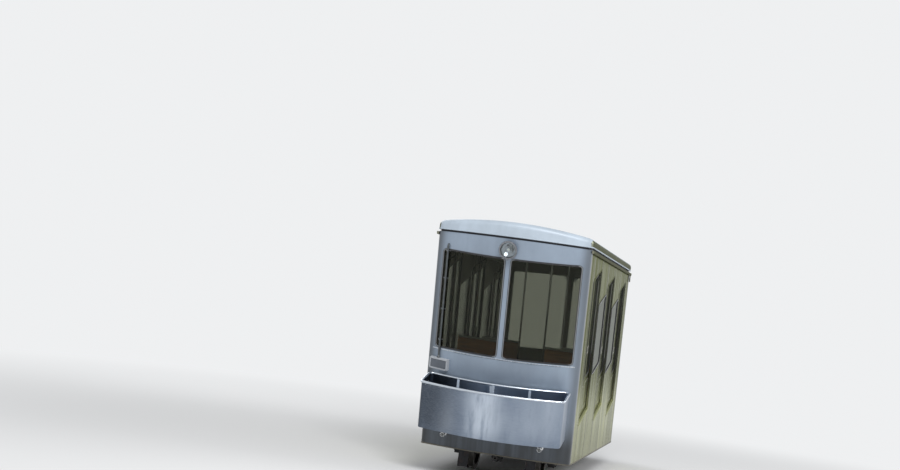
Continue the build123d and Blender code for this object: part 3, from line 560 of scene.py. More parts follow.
def rounded(width, height, radius, z=0.0, steps=4):
    """Closed loop of a rounded rectangle at height z."""
    radius = max(radius, 0.0001)
    points = []
    for k in range(4):
        x = (width / 2 - radius) * (1 if k in (0, 3) else -1)
        y = (height / 2 - radius) * (1 if k in (0, 1) else -1)
        for i in range(steps + 1):
            turn = math.pi / 2 * (k + i / steps)
            points.append((x + radius * math.cos(turn), y + radius * math.sin(turn), z))
    return points


class Piece:
    """Gathers the mesh of one detail piece, then dresses it and sets it on its body."""

    def __init__(self, name, slot, body="car", mat=None):
        self.name, self.slot, self.body = name, slot, body
        self.mat = mat or look[slot]
        self.mesh = bmesh.new()

    def loft(self, place, loops, around=False):
        """Skin through loops of points, closed by end caps or back onto the first loop."""
        rings = [[self.mesh.verts.new(place @ Vector(p)) for p in loop] for loop in loops]
        pairs = list(zip(rings, rings[1:]))
        if around:
            pairs.append((rings[-1], rings[0]))
        else:
            self.mesh.faces.new(list(reversed(rings[0])))
            self.mesh.faces.new(rings[-1])
        for low, high in pairs:
            for i in range(len(low)):
                j = (i + 1) % len(low)
                self.mesh.faces.new((low[i], low[j], high[j], high[i]))

    def slab(self, place, width, height, depth, radius, bevel, start=0.0):
        """Rounded plate with a chamfered face."""
        self.loft(place, [
            rounded(width, height, radius, start),
            rounded(width, height, radius, start + depth - bevel),
            rounded(width - 2 * bevel, height - 2 * bevel, radius - bevel, start + depth),
        ])

    def collar(self, place, width, height, radius, profile):
        """Closed profile of (grow, height) pairs swept round a rounded rectangle."""
        self.loft(place, [
            rounded(width + 2 * g, height + 2 * g, radius + g, z, 5) for g, z in profile
        ], around=True)

    def turned(self, place, profile, steps, around=False):
        """Profile of (radius, height) pairs turned about the frame's z."""
        rings = [(max(r, POINT), z) for r, z in profile]
        loops = [[(r * math.cos(t), r * math.sin(t), z) for t in turns(steps)] for r, z in rings]
        self.loft(place, loops, around)

    def moulding(self, stations, profile, closed=False):
        """Closed profile of (out, up) pairs swept along (point, out, up) stations."""
        loops = [[p + out * o + upward * u for o, u in profile] for p, out, upward in stations]
        self.loft(Matrix.Identity(4), loops, closed)

    def tube(self, points, radius, steps):
        """Round bar along a line of points."""
        points = [Vector(p) for p in points]
        side = None
        stations = []
        for i, point in enumerate(points):
            run = (points[min(i + 1, len(points) - 1)] - points[max(i - 1, 0)]).normalized()
            if side is None:
                side = run.orthogonal().normalized()
            side = (side - run * side.dot(run)).normalized()
            stations.append((point, side, run.cross(side)))
        self.moulding(stations, [(radius * math.cos(t), radius * math.sin(t)) for t in turns(steps)])

    def rivet(self, place, size):
        self.turned(place, [
            (size, -0.0004), (size * 0.82, size * 0.3), (size * 0.45, size * 0.5), (0, size * 0.56),
        ], 8)

    def bolt(self, place, size):
        """Washer under a chamfered hexagon head."""
        self.turned(place, [(size * 1.15, 0), (size * 1.15, size * 0.14), (size * 1.05, size * 0.2)], 14)
        head = [(size * 0.9, size * 0.2), (size * 0.9, size * 0.7), (size * 0.72, size * 0.86)]
        self.turned(place, head, 6)

    def screw(self, place, size):
        """Round-headed screw with a dished middle."""
        self.turned(place, [
            (size, -0.0004), (size, size * 0.3), (size * 0.75, size * 0.55), (size * 0.36, size * 0.58),
            (size * 0.26, size * 0.25), (0, size * 0.2),
        ], 10)

    def done(self):
        bmesh.ops.remove_doubles(self.mesh, verts=self.mesh.verts, dist=WELD)
        bmesh.ops.recalc_face_normals(self.mesh, faces=self.mesh.faces)
        mesh = bpy.data.meshes.new(self.name)
        self.mesh.to_mesh(mesh)
        self.mesh.free()
        for face in mesh.polygons:
            face.use_smooth = True
        mesh.set_sharp_from_angle(angle=CREASE)
        mesh.materials.append(self.mat)
        thing = bpy.data.objects.new(self.name, mesh)
        scene.collection.objects.link(thing)
        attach(thing, self.body)


def rounded_path(points, radius):
    """Line of points with its corners rounded to arcs of five steps."""
    points = [Vector(p) for p in points]
    path = [points[0]]
    for before, corner, after in zip(points, points[1:], points[2:]):
        into, out = (before - corner).normalized(), (after - corner).normalized()
        angle = into.angle(out)
        reach = radius / math.tan(angle / 2)
        middle = corner + (into + out).normalized() * (radius / math.sin(angle / 2))
        start, stop = corner + into * reach - middle, corner + out * reach - middle
        turn = start.angle(stop)
        for i in range(6):
            ahead, behind = math.sin(turn * i / 5), math.sin(turn * (1 - i / 5))
            path.append(middle + (start * behind + stop * ahead) / math.sin(turn))
    return path + [points[-1]]


def plan_ring(length, end_grow, side_grow, corner):
    """Closed plan of a bowed body about its middle: (x, lengthwise, outward x, outward lengthwise)."""
    half, reach = HALF + side_grow - corner, RADIUS + end_grow - corner
    middle = length / 2 - (RADIUS - BOW)
    turn = math.asin(half / reach)
    corner_y = middle + reach * math.cos(turn)
    end = []
    for x, y, radius, start, stop, steps, skip in (
        (-half, corner_y, corner, -math.pi / 2, -turn, 6, 0),
        (0, middle, reach + corner, -turn, turn, 18, 1),
        (half, corner_y, corner, turn, math.pi / 2, 6, 0),
    ):
        for i in range(skip, steps + 1 - skip):
            t = start + (stop - start) * i / steps
            end.append((x + radius * math.sin(t), y + radius * math.cos(t), math.sin(t), math.cos(t)))
    return end + [(-x, -y, -u, -v) for x, y, u, v in end]


def bow_stations(end, h, start, stop, count=24, proud=0.0):
    """Stations along an end's bow at plumb height h."""
    stations = []
    for i in range(count + 1):
        spot = on_skin(end, start + (stop - start) * i / count, h, proud)
        stations.append((spot.translation, spot.col[2].xyz, PLUMB))
    return stations


# Skirt bead, joint strips and their rivets
SEAM_SHIFT, WRAP_SEAM, WRAP_RIVETS = 0.018, 0.097, 0.072
STRIP_WIDTH, STRIP_DEPTH, RIVET_PITCH = 0.024, 0.0016, 0.11
skirt = Piece("skirt_bead", "gutter_steel", mat=steel("skirt_bead", (0.14, 0.14, 0.13), 0.5, 0, 0.2, 0.6))
stations = []
for x, y, u, v in plan_ring(LEVEL_LENGTH, 0, 0, CORNER):
    a = LEVEL_LENGTH / 2 + y
    stations.append((side_point(x, a, plumb_of(0, a)), Vector((u, v * C, v * S)), PLUMB))
bead_profile = [(-0.002, 0.002), (0.004, 0.001), (0.006, 0.008), (0.004, 0.017), (-0.002, 0.02)]
skirt.moulding(stations, bead_profile, True)
skirt.done()

strips = Piece("side_joint_strips", "side_steel", mat=steel("joint_strips", (0.30, 0.30, 0.27), 0.26, 0.1))
heads = Piece("side_rivets", "side_steel", mat=zinc)
for side in SIDES:
    seams = [bay_start(i) + (SEAM_SHIFT if i % 2 else -SEAM_SHIFT) for i in range(6)]
    for a in seams + [WRAP_SEAM, LEVEL_LENGTH - WRAP_SEAM]:
        low, high = plumb_of(0.022, a), plumb_of(WALL - 0.056, a)
        middle = on_side(side, a, (low + high) / 2)
        strips.slab(middle, STRIP_WIDTH, high - low, STRIP_DEPTH, 0.002, 0.0006)
        count = int((high - low) / RIVET_PITCH)
        for i in range(count + 1):
            b = low + 0.02 + (high - low - 0.04) * i / count
            heads.rivet(on_side(side, a, b, STRIP_DEPTH), 0.0036)
    for a in (WRAP_RIVETS, LEVEL_LENGTH - WRAP_RIVETS):
        for i in range(27):
            heads.rivet(on_side(side, a, plumb_of(0.06, a) + i * RIVET_PITCH), 0.003)
strips.done()
heads.done()

# Doorways: edging in the side sheet round each opening and a ribbed nosing on its sill
NOSING_TOP, NOSING_EDGE, RIB_PITCH = 0.0045, 0.0075, 0.008
RIB = ((0, 0), (0.002, 0.0015), (0.004, 0.0015), (0.006, 0))
nosing_profile = [(-0.03, 0.002), (-0.03, NOSING_TOP)]
nosing_profile += [(-0.028 + RIB_PITCH * k + d, NOSING_TOP + e) for k in range(4) for d, e in RIB]
nosing_profile += [
    (0.006, NOSING_TOP), (NOSING_EDGE, 0.002), (NOSING_EDGE, -0.022), (0.004, -0.024), (0.004, 0.002),
]
edging = Piece("doorway_edging", "side_steel")
# Light lime-yellow nosing steel: painted reflection like the side sheet's tone below, also lightening the
# shade at the sills
nosing_reflection_steel = steel("nosing_steel", (0.6, 0.61, 0.44), 0.3, 0, 0.1, 0.1, (0.55, 0.57, 0.38))
nosing = Piece("doorway_nosings", "gutter_steel", mat=nosing_reflection_steel)
for side in SIDES:
    for i, landing in zip(DOOR_BAYS, LANDINGS):
        start = bay_start(i)
        place = on_side(side, start + LEVEL_BAY / 2, landing + DOOR_HEAD / 2)
        edging.collar(place, LEVEL_BAY, DOOR_HEAD, 0.003, [
            (0.009, -0.0005), (0.009, 0.002), (0.005, 0.0035), (-0.003, 0.0035), (-0.003, -0.026),
            (0.0005, -0.026),
        ])
        stations = [
            (side_point(side * HALF, a, landing), Vector((side, 0, 0)), PLUMB)
            for a in (start + 0.004, start + LEVEL_BAY - 0.004)
        ]
        nosing.moulding(stations, nosing_profile)
edging.done()
nosing.done()

# Door leaves: glass gaskets, meeting seals, pull plates, beads, inside handles and hanger bolts
LEAF_OUT = LEAF_FACE - HALF
PANE, PANE_MIDDLE = (LEAF_WIDTH - 0.124, 1.484, 0.045), 1.328
MEETING_GAP, STILE, PULL_HEIGHT, GRIP = 0.003, 0.031, 1.02, 0.09
HANGER, HANGER_HEIGHTS = LEAF_WIDTH / 2 - 0.08, (2.09, 2.13)
OUTER_GASKET = [
    (0.011, -0.0003), (0.011, 0.0006), (0.008, 0.001), (-0.006, 0.001), (-0.009, -0.001),
    (-0.009, -0.0038), (0.0004, -0.0038), (0.0004, -0.0003),
]
INNER_GASKET = [
    (0.011, -0.0297), (0.0004, -0.0297), (0.0004, -0.0122), (-0.009, -0.0122), (-0.009, -0.03),
    (-0.006, -0.0325), (0.006, -0.0325), (0.011, -0.0315),
]
for side, side_name in zip(SIDES, SIDE_NAMES):
    for number, (i, landing) in enumerate(zip(DOOR_BAYS, LANDINGS), start=1):
        for way, where in zip((-1, 1), ENDS):
            body = f"{side_name}_door_{number}_{where}"
            meeting = bay_start(i) + LEVEL_BAY / 2 + way * MEETING_GAP
            centre, stile = meeting + way * LEAF_WIDTH / 2, meeting + way * STILE
            pull = landing + PULL_HEIGHT
            seals = Piece(f"{body}_seals", "window_gasket_rubber", body)
            pane = on_side(side, centre, landing + PANE_MIDDLE, LEAF_OUT)
            seals.collar(pane, *PANE, OUTER_GASKET)
            seals.collar(pane, *PANE, INNER_GASKET)
            lip = on_side(side, meeting - way * 0.0012, landing + DOOR_HEAD / 2, LEAF_OUT - 0.026)
            seals.slab(lip, 0.0026, DOOR_HEAD + 0.03, 0.023, 0.001, 0.0006)
            seals.slab(on_side(side, stile, pull, LEAF_OUT + 0.0007), 0.013, 0.062, 0.0003, 0.006, 0.0001)
            seals.done()
            trim = Piece(f"{body}_fittings", "pole_steel", body, door_trim)
            trim.slab(on_side(side, stile, pull, LEAF_OUT - 0.0003), 0.03, 0.12, 0.0012, 0.013, 0.0005)
            bead = on_side(side, centre, landing + 0.29, LEAF_OUT)
            trim.collar(bead, LEAF_WIDTH - 0.15, 0.4, 0.03, [
                (-0.005, -0.0003), (-0.0025, 0.0008), (0.0025, 0.0008), (0.005, -0.0003),
            ])
            foot = on_side(side, stile, pull, LEAF_BACK - HALF)
            grip = [(0, -GRIP, 0.001), (0, -GRIP, -0.022), (0, GRIP, -0.022), (0, GRIP, 0.001)]
            trim.tube([foot @ p for p in rounded_path(grip, 0.012)], 0.006, 8)
            for b in (-GRIP, GRIP):
                trim.turned(shifted(foot, 0, b, -0.003), [(0.011, 0), (0.012, 0.001), (0.012, 0.0035)], 12)
            for shift, b in product((-HANGER, HANGER), HANGER_HEIGHTS):
                spot = side_point(side * (LEAF_BACK - 0.012), centre + shift, landing + b)
                trim.bolt(placed(spot, -side * LEVEL, PLUMB), 0.006)
            trim.done()

# Windscreens: a light sill moulding under the panes, its light tone a painted highlight line, and the filler
# strip of every gasket
FILLER = [(-0.004, 0.0055), (-0.003, 0.0072), (0.003, 0.0072), (0.004, 0.0055)]
sill_highlight_steel = steel("sill_moulding", (0.66, 0.7, 0.74), 0.26, 0, 0.1, 0)
mould = Piece("windscreen_sills", "end_paint", mat=sill_highlight_steel)
for end in ENDS:
    mould.moulding(bow_stations(end, SILL - 0.03, -1.03, 1.03), [
        (-0.002, -0.008), (0.005, -0.007), (0.008, 0), (0.007, 0.006), (-0.002, 0.008),
    ])
mould.done()
filler_steel = steel("gasket_filler", (0.4, 0.42, 0.43), 0.3, 0, 0.1, 0)
filler = Piece("gasket_fillers", "gasket_rubber", mat=filler_steel)
for side in SIDES:
    for i, landing in zip(WINDOW_BAYS, LANDINGS[1:]):
        place = on_side(side, bay_start(i) + LEVEL_BAY / 2, landing + 1.5)
        filler.collar(place, LEVEL_BAY - 0.14, 1.09, 0.06, FILLER)
for end, (x0, x1) in product(ENDS, SCREENS):
    wide, tall = x1 - x0, SCREEN_HEAD - SILL
    near = rounded(wide, tall, SCREEN_CORNER, steps=6)
    far = rounded(wide + 0.2, tall + 0.2, SCREEN_CORNER + 0.1, steps=6)
    stations = []
    for (x, y, _), (far_x, far_y, _) in zip(near, far):
        spot = on_skin(end, (x0 + x1) / 2 + x, (SILL + SCREEN_HEAD) / 2 + y)
        aside = (spot.col[0].xyz * (far_x - x) + PLUMB * (far_y - y)).normalized()
        stations.append((spot.translation, aside, spot.col[2].xyz))
    filler.moulding(stations, FILLER, True)
filler.done()

# Roof: drip moulding, lengthwise beads and riveted lap joints clear of the crown
LAP_START, LAP_WIDTH, LAP_PITCH = 0.225, 0.8, 1.15
BEAD_X, BEAD_HALF = 0.215, 2.98
drip = Piece("roof_drip_moulding", "roof_paint")
stations = [
    (Vector((x, ROOF_MIDDLE + y, ROOF_BASE)), Vector((u, v, 0)), Vector((0, 0, 1)))
    for x, y, u, v in plan_ring(LENGTH, 0.035, 0.012, 0.13)
]
drip.moulding(stations, [
    (-0.014, -0.003), (0.004, -0.003), (0.006, 0.003), (0.004, 0.014), (-0.002, 0.017),
    (-0.002, 0.002), (-0.014, 0.002),
], True)
drip.done()
laps = Piece("roof_lap_joints", "roof_paint")
for side in SIDES:
    for k in range(-2, 3):
        y = ROOF_MIDDLE + k * LAP_PITCH
        spots = [on_roof(side * (LAP_START + LAP_WIDTH * i / 12), y) for i in range(13)]
        stations = [(spot.translation, Vector((0, 1, 0)), spot.col[2].xyz) for spot in spots]
        laps.moulding(stations, [(-0.017, -0.001), (-0.015, 0.0013), (0.015, 0.0013), (0.017, -0.001)])
        for i in range(20):
            laps.rivet(shifted(on_roof(side * (0.24 + 0.04 * i), y), 0, 0, 0.0011), 0.0036)
    spots = [on_roof(side * BEAD_X, ROOF_MIDDLE + k * BEAD_HALF) for k in (-1, 1)]
    stations = [(spot.translation, spot.col[0].xyz, spot.col[2].xyz) for spot in spots]
    laps.moulding(stations, [(-0.007, -0.001), (-0.003, 0.0018), (0.003, 0.0018), (0.007, -0.001)])
laps.done()

# Gutters: end caps, straps over the channel, lugs under it and outlets at the low end
GUTTER_X, GUTTER_TOP, GUTTER_START = 1.116, RIDE + WALL - 0.008, FRONT - T * (WALL - 0.028)
GUTTER_STOP = GUTTER_START + LENGTH
SPOUT = ((0.05, 0.038), (0.05, 0.09), (0.015, 0.15))
gutter = Piece("gutter_fittings", "gutter_steel")
for side in SIDES:
    x = side * GUTTER_X
    for y, way in ((GUTTER_START, -1), (GUTTER_STOP, 1)):
        cap = placed((x, y - way * 0.001, GUTTER_TOP - 0.02), (-way, 0, 0), (0, 0, 1))
        gutter.slab(cap, 0.031, 0.04, 0.0025, 0.003, 0.0008)
    for k in range(11):
        y = GUTTER_START + 0.3 + 0.54 * k
        strap = placed((side * 1.1155, y, GUTTER_TOP - 0.0012), (1, 0, 0), (0, 1, 0))
        gutter.slab(strap, 0.03, 0.018, 0.002, 0.002, 0.0006)
        lug = placed((side * 1.113, y, GUTTER_TOP - 0.0395), (1, 0, 0), (0, -1, 0))
        gutter.slab(lug, 0.026, 0.022, 0.006, 0.003, 0.001)
    spout = [(x, GUTTER_STOP - back, GUTTER_TOP - low) for back, low in SPOUT]
    gutter.tube(rounded_path(spout, 0.02), 0.011, 12)
gutter.done()

# Lamps: bezels, bulbs, clamp screws and the marker lamps' lenses
lamp_rim = steel("lamp_rim", (0.27, 0.28, 0.3), 0.25, 0, 0.1, 0)
marker_rim = steel("marker_rim", (0.74, 0.75, 0.76), 0.2, 0, 0.1, 0)
bezels = Piece("headlamp_bezels", "lamp_chrome", mat=lamp_rim)
bulbs = Piece("lamp_bulbs", "lamp_glass", mat=plastic("frosted_bulb", (0.85, 0.84, 0.78), 0.2))
lenses = Piece("marker_lenses", "lamp_glass")
rims = Piece("marker_bezels", "lamp_chrome", mat=marker_rim)
for end in ENDS:
    shell = on_chord(end, MULLION, LAMP_HEIGHTS[end], BOW)
    bezels.turned(shell, [
        (0.1285, 0.084), (0.1315, 0.087), (0.1315, 0.098), (0.127, 0.1045), (0.118, 0.107), (0.1105, 0.104),
        (0.108, 0.099), (0.112, 0.096), (0.1285, 0.096),
    ], 48, around=True)
    bezels.slab(shifted(shell, 0, -0.137, 0.084), 0.018, 0.02, 0.014, 0.003, 0.001)
    bezels.bolt(shifted(shell, 0, -0.139, 0.098), 0.006)
    bulbs.turned(shell, [
        (0.016, 0.03), (0.016, 0.045), (0.010, 0.048), (0.016, 0.056), (0.018, 0.064), (0.013, 0.073),
        (0, 0.077),
    ], 20)
    for x in MARKERS:
        base = on_skin(end, x, MARKER_HEIGHT)
        rims.turned(base, [(0.044, -0.001), (0.044, 0.003), (0.040, 0.005), (0.026, 0.006)], 24)
        for place in round_circle(base, 0.034, 0.005, 3, 0.25):
            rims.screw(place, 0.0035)
        face = on_chord(end, x, MARKER_HEIGHT, bulge(x) + MARKER_DEPTH)
        rims.turned(face, [
            (0.0342, -0.02), (0.0362, -0.018), (0.0362, -0.001), (0.033, 0.004), (0.0285, 0.004),
            (0.0275, 0), (0.0342, -0.001),
        ], 28, around=True)
        lenses.turned(face, [
            (0.0278, 0), (0.0275, 0.003), (0.025, 0.009), (0.018, 0.013), (0.008, 0.0148), (0, 0.0152),
        ], 24)
for piece in (bezels, bulbs, lenses, rims):
    piece.done()

# Baskets: rivets under the rim and on the straps, bearer bolts, drain slots, hems and rim rolls
SLOT, ROLL_RADIUS, ROLL_RELIEF = (0.06, 0.014, 0.0012, 0.006, 0.0004), 0.0172, 0.00026
rivets = Piece("basket_rivets", "basket_steel", mat=zinc)
drains = Piece("basket_drain_slots", "gasket_rubber")
hem = Piece("basket_hems", "basket_steel")
# Rim rolls in the rim's painted highlight
sleeve = Piece("basket_rim_rolls", "basket_steel", mat=rim_highlight_steel)
for end in ENDS:
    for i in range(26):
        x = -0.95 + 1.9 * i / 25
        rivets.rivet(on_chord(end, x, RIM - 0.034, bulge(x, TUB_FRONT)), 0.0035)
    for x, h in product(STRAPS, (TUB_FLOOR + 0.08, (TUB_FLOOR + RIM) / 2, RIM - 0.08)):
        rivets.rivet(on_chord(end, x, h, bulge(x, TUB_BACK + 0.012) + 0.006), 0.005)
    for x, h in product((-0.75, -0.375, 0, 0.375, 0.75), (TUB_FLOOR + 0.16, RIM - 0.16)):
        rivets.bolt(on_chord(end, x, h, bulge(x, TUB_BACK) + 0.006), 0.009)
    for i in range(11):
        x = -0.8 + 0.16 * i
        middle = end_point(end, x, TUB_FLOOR, bulge(x, TUB_MIDDLE))
        drains.slab(placed(middle, (1, 0, 0), -LEVEL), *SLOT)
        drains.slab(placed(middle + PLUMB * 0.006, (1, 0, 0), LEVEL), *SLOT)
    low = bow_stations(end, TUB_FLOOR + 0.032, -0.94, 0.94, 30, TUB_FRONT)
    hem.moulding(low, [(-0.001, -0.012), (0.0025, -0.011), (0.003, 0), (0.0015, 0.006), (-0.001, 0.006)])
    rings = []
    for spot, out, upward in bow_stations(end, RIM, -0.93, 0.93, 72, TUB_FRONT):
        radius = ROLL_RADIUS - ROLL_RELIEF * max(0, 1 - (spot.x / 0.08) ** 2)
        rings.append([spot + (out * math.cos(t) + upward * math.sin(t)) * radius for t in turns(32)])
    sleeve.loft(Matrix.Identity(4), rings)
for piece in (rivets, drains, hem, sleeve):
    piece.done()

# Junction box: dark bare lid, screws, hinges, gland and conduit saddles
CONDUIT_X, CONDUIT_OUT, SADDLE_RADIUS, TAB_X = -0.93, 0.024, 0.0146, 0.027
box = on_skin("uphill", -0.9, 1.25)
lid = Piece("junction_box_lid", "box_plastic", mat=plastic("junction_box_lid", (0.12, 0.135, 0.16), 0.4))
lid.slab(box, 0.252, 0.122, 0.0035, 0.006, 0.0012, 0.0548)
lid.done()
fixings = Piece("box_fixings", "conduit_metal", mat=steel("dull_zinc", (0.2, 0.21, 0.22), 0.45, 0, 0.1))
for x, y in product((-0.136, 0.136), (-0.071, 0.071)):
    fixings.screw(shifted(box, x, y, 0.063), 0.005)
for y in (-0.061, 0.029):
    hinge = shifted(box, -0.147, y, 0.05) @ Matrix.Rotation(-math.pi / 2, 4, "X")
    fixings.turned(hinge, [(0.004, 0), (0.005, 0.001), (0.005, 0.031), (0.004, 0.032)], 12)
gland = on_landing(CONDUIT_X, -(bulge(CONDUIT_X) + CONDUIT_OUT), 1.33)
fixings.turned(gland, [(0.024, -0.002), (0.024, 0.01), (0.021, 0.012), (0.021, 0.014)], 6)
fixings.turned(gland, [(0.019, 0.014), (0.02, 0.022), (0.017, 0.03), (0.0145, 0.034)], 20)
for b in (1.6, 2.05, 2.5, 2.9):
    saddle = on_skin("uphill", CONDUIT_X, b)
    aside, ahead = saddle.col[0].xyz, saddle.col[2].xyz
    stations = []
    for k in range(9):
        out = aside * math.cos(math.pi * k / 8) + ahead * math.sin(math.pi * k / 8)
        stations.append((saddle.translation + ahead * CONDUIT_OUT + out * SADDLE_RADIUS, out, PLUMB))
    fixings.moulding(stations, [(0, -0.008), (0.0016, -0.008), (0.0016, 0.008), (0, 0.008)])
    for x in (-TAB_X, TAB_X):
        fixings.slab(shifted(saddle, x, 0, 0), 0.026, 0.016, 0.0016, 0.003, 0.0005)
        fixings.screw(shifted(saddle, x * 1.08, 0, 0.0016), 0.0035)
fixings.done()

# Inside: boards, header covers, ceiling lamps, pole flanges, tread ribs and step nosings
BENCH_X, SEAT, SLAT_PITCH, BOARD_WIDTH = (AISLE + CABIN) / 2, 0.44, 0.082, 0.635
STEP_DEPTH, POLE_BACK, RIB_SPACING = 0.28, 0.04, 0.028
FLANGE = [(0.042, 0), (0.042, 0.004), (0.036, 0.008)]
slats = Piece("bench_slats", "bench_wood")
boards = Piece("partition_boards", "partition_wood")
for x in (-BENCH_X, BENCH_X):
    for number, (start, landing) in enumerate(zip(STARTS, LANDINGS)):
        back = start + 0.03
        for k in range(5):
            place = on_landing(x, back + 0.046 + SLAT_PITCH * k, landing + SEAT)
            slats.slab(place, 0.64, 0.074, 0.012, 0.006, 0.004)
        top = 0.82 if number else 0.9
        pitch = (top - 0.56) / 4
        for k in range(4):
            place = placed(side_point(x, back, landing + 0.51 + pitch * (k + 0.5)), (-1, 0, 0), PLUMB)
            boards.slab(place, BOARD_WIDTH, pitch - 0.008, 0.01, 0.004, 0.003)
        if number:
            pitch = (top - 0.1) / 8
            for k in range(8):
                place = placed(side_point(x, start, landing + 0.06 + pitch * (k + 0.5)), (1, 0, 0), PLUMB)
                boards.slab(place, BOARD_WIDTH, pitch - 0.006, 0.006, 0.003, 0.002)
slats.done()
boards.done()

inner = Piece("door_header_covers", "ceiling_paint")
bright = Piece("cabin_trim", "cap_metal")
lights = Piece("ceiling_lamps", "marker_plastic", mat=plastic("lamp_diffuser", (0.8, 0.8, 0.76), 0.3))
for side in SIDES:
    stations = [
        (side_point(side * 1.01, a, plumb_of(2.905, a)), Vector((-side, 0, 0)), PLUMB)
        for a in (0.07, LEVEL_LENGTH - 0.07)
    ]
    inner.moulding(stations, [
        (0, 0), (0.012, -0.004), (0.014, 0), (0.004, 0.012), (0.003, 0.145), (0, 0.145),
    ])
    for k in range(12):
        a = 0.4 + 0.46 * k
        spot = side_point(side * 1.007, a, plumb_of(3.0, a))
        bright.screw(placed(spot, -side * LEVEL, PLUMB), 0.005)
inner.done()
for y in (ROOF_MIDDLE - 1.9, ROOF_MIDDLE, ROOF_MIDDLE + 1.9):
    place = placed((0, y, RIDE + CEILING), (1, 0, 0), (0, -1, 0))
    lights.slab(place, 0.16, 0.62, 0.032, 0.03, 0.014)
    bright.collar(place, 0.16, 0.62, 0.03, [(0, 0), (0.012, 0), (0.012, 0.004), (0.004, 0.012), (0, 0.012)])
lights.done()
for start, landing in zip(STARTS[1:], LANDINGS):
    a = start - POLE_BACK
    for x in (-AISLE, AISLE):
        bright.turned(on_landing(x, a, landing), FLANGE + [(0.020, 0.010), (0.0165, 0.016)], 24)
        head = placed(side_point(x, a, plumb_of(CEILING, a)), (1, 0, 0), -LEVEL)
        bright.turned(head, FLANGE + [(0.020, 0.016), (0.0165, 0.022)], 24)
ribs = Piece("aisle_tread_ribs", "floor_metal", mat=iron("tread_ribs", (0.24, 0.24, 0.24), 0.4, 0.8, 0.05))
stops = STARTS[1:] + (LEVEL_LENGTH + 0.02,)
for number, (start, stop, landing) in enumerate(zip(STARTS, stops, LANDINGS)):
    a0, a1 = start + (0.3 if number else -0.05), stop - 0.05
    for k in range(24):
        place = on_landing(-0.322 + RIB_SPACING * k, (a0 + a1) / 2, landing)
        ribs.slab(place, 0.008, a1 - a0, 0.0022, 0.002, 0.0008)
for start, landing in zip(STARTS[1:], LANDINGS[1:]):
    for a, b in ((start, landing + DROP), (start + STEP_DEPTH, landing + DROP / 2)):
        stations = [(side_point(share * AISLE, a, b), LEVEL, PLUMB) for share in (-0.99, 0.99)]
        bright.moulding(stations, [
            (-0.045, 0), (-0.045, 0.002), (-0.002, 0.0035), (0.003, 0.001), (0.003, -0.022),
            (0, -0.022), (0, 0),
        ])
ribs.done()
bright.done()

# Running gear: box covers, wheel bolts, spring collars, horn bolts, socket pin and guard bolts
HORN_FACE, RAIL_X, PIPE_X, PIPE_RADIUS = 0.034, 0.5, 0.655, 0.008
covers = Piece("axle_box_covers", "box_iron")
bolts = Piece("underframe_bolts", "box_iron", mat=iron("dark_bolts", (0.1, 0.1, 0.1), 0.45, 0.8, 0.3))
for y, side in product(AXLES, SIDES):
    cover = placed((side * 0.78, y, WHEEL), (0, side, 0), (0, 0, 1))
    covers.turned(cover, [
        (0, 0.054), (0.05, 0.052), (0.058, 0.046), (0.06, 0.012), (0.075, 0.008), (0.075, 0), (0.052, 0),
        (0.052, 0.045), (0, 0.045),
    ], 32, around=True)
    for place in round_circle(cover, 0.0675, 0.0075, 6, 0.5):
        bolts.bolt(place, 0.007)
    for shift, (z, sign) in product((-0.045, 0.045), ((WHEEL + 0.09, 1), (0.45, -1))):
        ring = placed((side * BEAM, y + shift, z), (1, 0, 0), (0, sign, 0))
        covers.turned(ring, [(0.0345, 0), (0.041, 0), (0.041, 0.01), (0.0345, 0.014)], 24, around=True)
    for sign, way, z in product((-1, 1), (-1, 1), (0.26, 0.40)):
        spot = (side * BEAM + way * HORN_FACE, y + sign * 0.11, z)
        bolts.bolt(placed(spot, (-sign, 0, 0), (0, 0, 1)), 0.009)
covers.done()
cross = [FRONT + p for p in (0.3, PANEL + 1.65 * BAY, PANEL + 2.55 * BAY, PANEL + 3.4 * BAY, LENGTH - 0.4)]
for y, side, way, z, shift in product(cross, SIDES, (-1, 1), (0.505, 0.595), (0.055, -0.055)):
    bolts.bolt(placed((side * BEAM + way * 0.01, y + shift, z), (0, way, 0), (0, 0, 1)), 0.008)
for k in (-1, 1):
    bolts.bolt(placed((k * 0.066, cross[0], 0.285), (0, k, 0), (0, 0, 1)), 0.02)
    for x, y in product((-0.06, 0.06), (cross[0], cross[-1])):
        bolts.bolt(placed((k * RAIL_X + x, y - 0.008, 0.4), (1, 0, 0), (0, 0, 1)), 0.011)
bolts.done()
for end, y in zip(ENDS, AXLES):
    studs = Piece(f"{end}_wheel_studs", "wheel_iron", f"{end}_wheels")
    for x, way in product((-RAIL_X, RAIL_X), (-1, 1)):
        hub = placed((x + way * 0.018, y, WHEEL), (0, way, 0), (0, 0, 1))
        studs.turned(hub, [(0.118, 0), (0.118, 0.004), (0.112, 0.008), (0.096, 0.01)], 40)
        for place in round_circle(hub, 0.15, 0, 8):
            studs.bolt(place, 0.011)
    studs.done()
pipes = Piece("brake_pipes", "conduit_metal", mat=iron("brake_pipe", (0.12, 0.11, 0.1), 0.5, 0.7, 0.5))
for x, z in ((-PIPE_X, 0.57), (-PIPE_X, 0.545), (PIPE_X, 0.57)):
    pipes.tube([(x, FRONT + 0.25, z), (x, FRONT + LENGTH - 0.35, z)], PIPE_RADIUS, 10)
    for k in range(7):
        clip = placed((x, FRONT + 0.45 + 0.8 * k, z), (1, 0, 0), (0, 0, 1))
        pipes.turned(clip, [(0.0085, -0.01), (0.011, -0.01), (0.011, 0.01), (0.0085, 0.01)], 12, around=True)
bend = cross[2] - 0.05
drop = [(-PIPE_X, bend - 0.07, 0.545), (-PIPE_X, bend, 0.545), (-0.62, bend, 0.42), (-0.57, bend, 0.4)]
pipes.tube(rounded_path(drop, 0.02), 0.007, 10)
pipes.done()

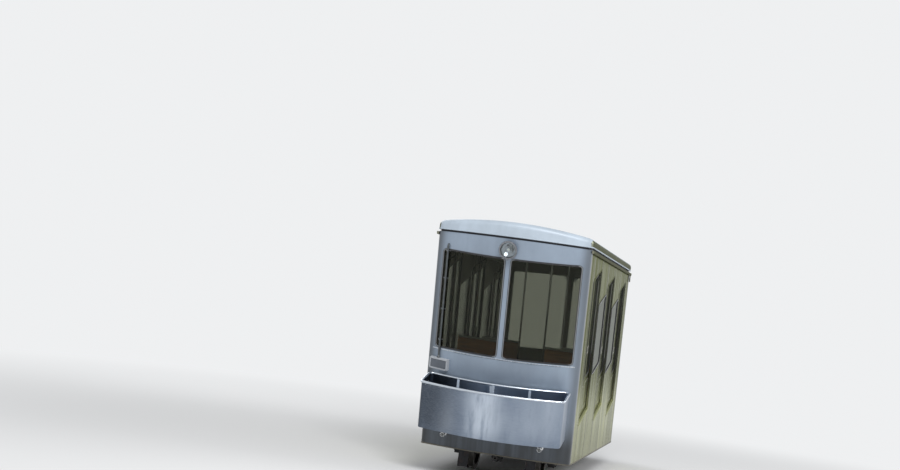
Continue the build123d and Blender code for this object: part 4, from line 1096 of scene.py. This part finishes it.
# Pale studio: a matt floor that turns into the background's tone far from the car
SKY, FLOOR_TONE = (0.86, 0.87, 0.88), (0.76, 0.76, 0.76)
FADE_START, FADE_STOP, FLOOR_HALF = 5.0, 16.0, 150
ground = Nodes("studio_floor", FLOOR_TONE, 1.0, lean=False)
ground.tree.nodes.remove(ground.shader)
matt = ground.add("ShaderNodeBsdfDiffuse", {"Color": FLOOR_TONE})
glow = ground.add("ShaderNodeEmission", {"Color": SKY})
reach = ground.add("ShaderNodeVectorMath", {0: ground.raw}, operation="LENGTH").outputs["Value"]
share = ground.times(ground.smooth(reach, FADE_START, FADE_STOP), ground.seen())
both = ground.add("ShaderNodeMixShader", {0: share, 1: matt.outputs[0], 2: glow.outputs[0]})
ground.put(both.outputs[0], ground.tree.nodes["Material Output"].inputs["Surface"])
floor_mesh = bpy.data.meshes.new("studio_floor")
corners = [(x * FLOOR_HALF, y * FLOOR_HALF, 0) for x, y in ((-1, -1), (1, -1), (1, 1), (-1, 1))]
floor_mesh.from_pydata(corners, [], [(0, 1, 2, 3)])
floor_mesh.materials.append(ground.mat)
studio_floor = bpy.data.objects.new("studio_floor", floor_mesh)
scene.collection.objects.link(studio_floor)

world = bpy.data.worlds.new("studio")
scene.world = world
world.use_nodes = True
sky = Tree(world.node_tree)
background = sky.tree.nodes["Background"]
sky.put((0.86, 0.88, 0.9), background.inputs["Color"])
sky.put(0.55, background.inputs["Strength"])
shown = sky.add("ShaderNodeBackground", {"Color": SKY})
choice = sky.add("ShaderNodeMixShader", {0: sky.seen(), 1: background.outputs[0], 2: shown.outputs[0]})
sky.put(choice.outputs[0], sky.tree.nodes["World Output"].inputs["Surface"])


def area_light(name, place, target, size, power):
    data = bpy.data.lights.new(name, "AREA")
    data.shape = "RECTANGLE"
    data.size, data.size_y = size
    data.energy = power
    thing = bpy.data.objects.new(name, data)
    aim = (Vector(target) - Vector(place)).to_track_quat("-Z", "Y")
    thing.matrix_world = Matrix.Translation(place) @ aim.to_matrix().to_4x4()
    scene.collection.objects.link(thing)


area_light("key_light", (3.5, -14, 11), (0.4, -1, 1.5), (6, 6), 1500)
area_light("fill_light", (12, 2, 8), (0, 0, 1.5), (8, 6), 600)
area_light("rim_light", (-9, 8, 10), (0, 1, 1.5), (8, 7), 560)
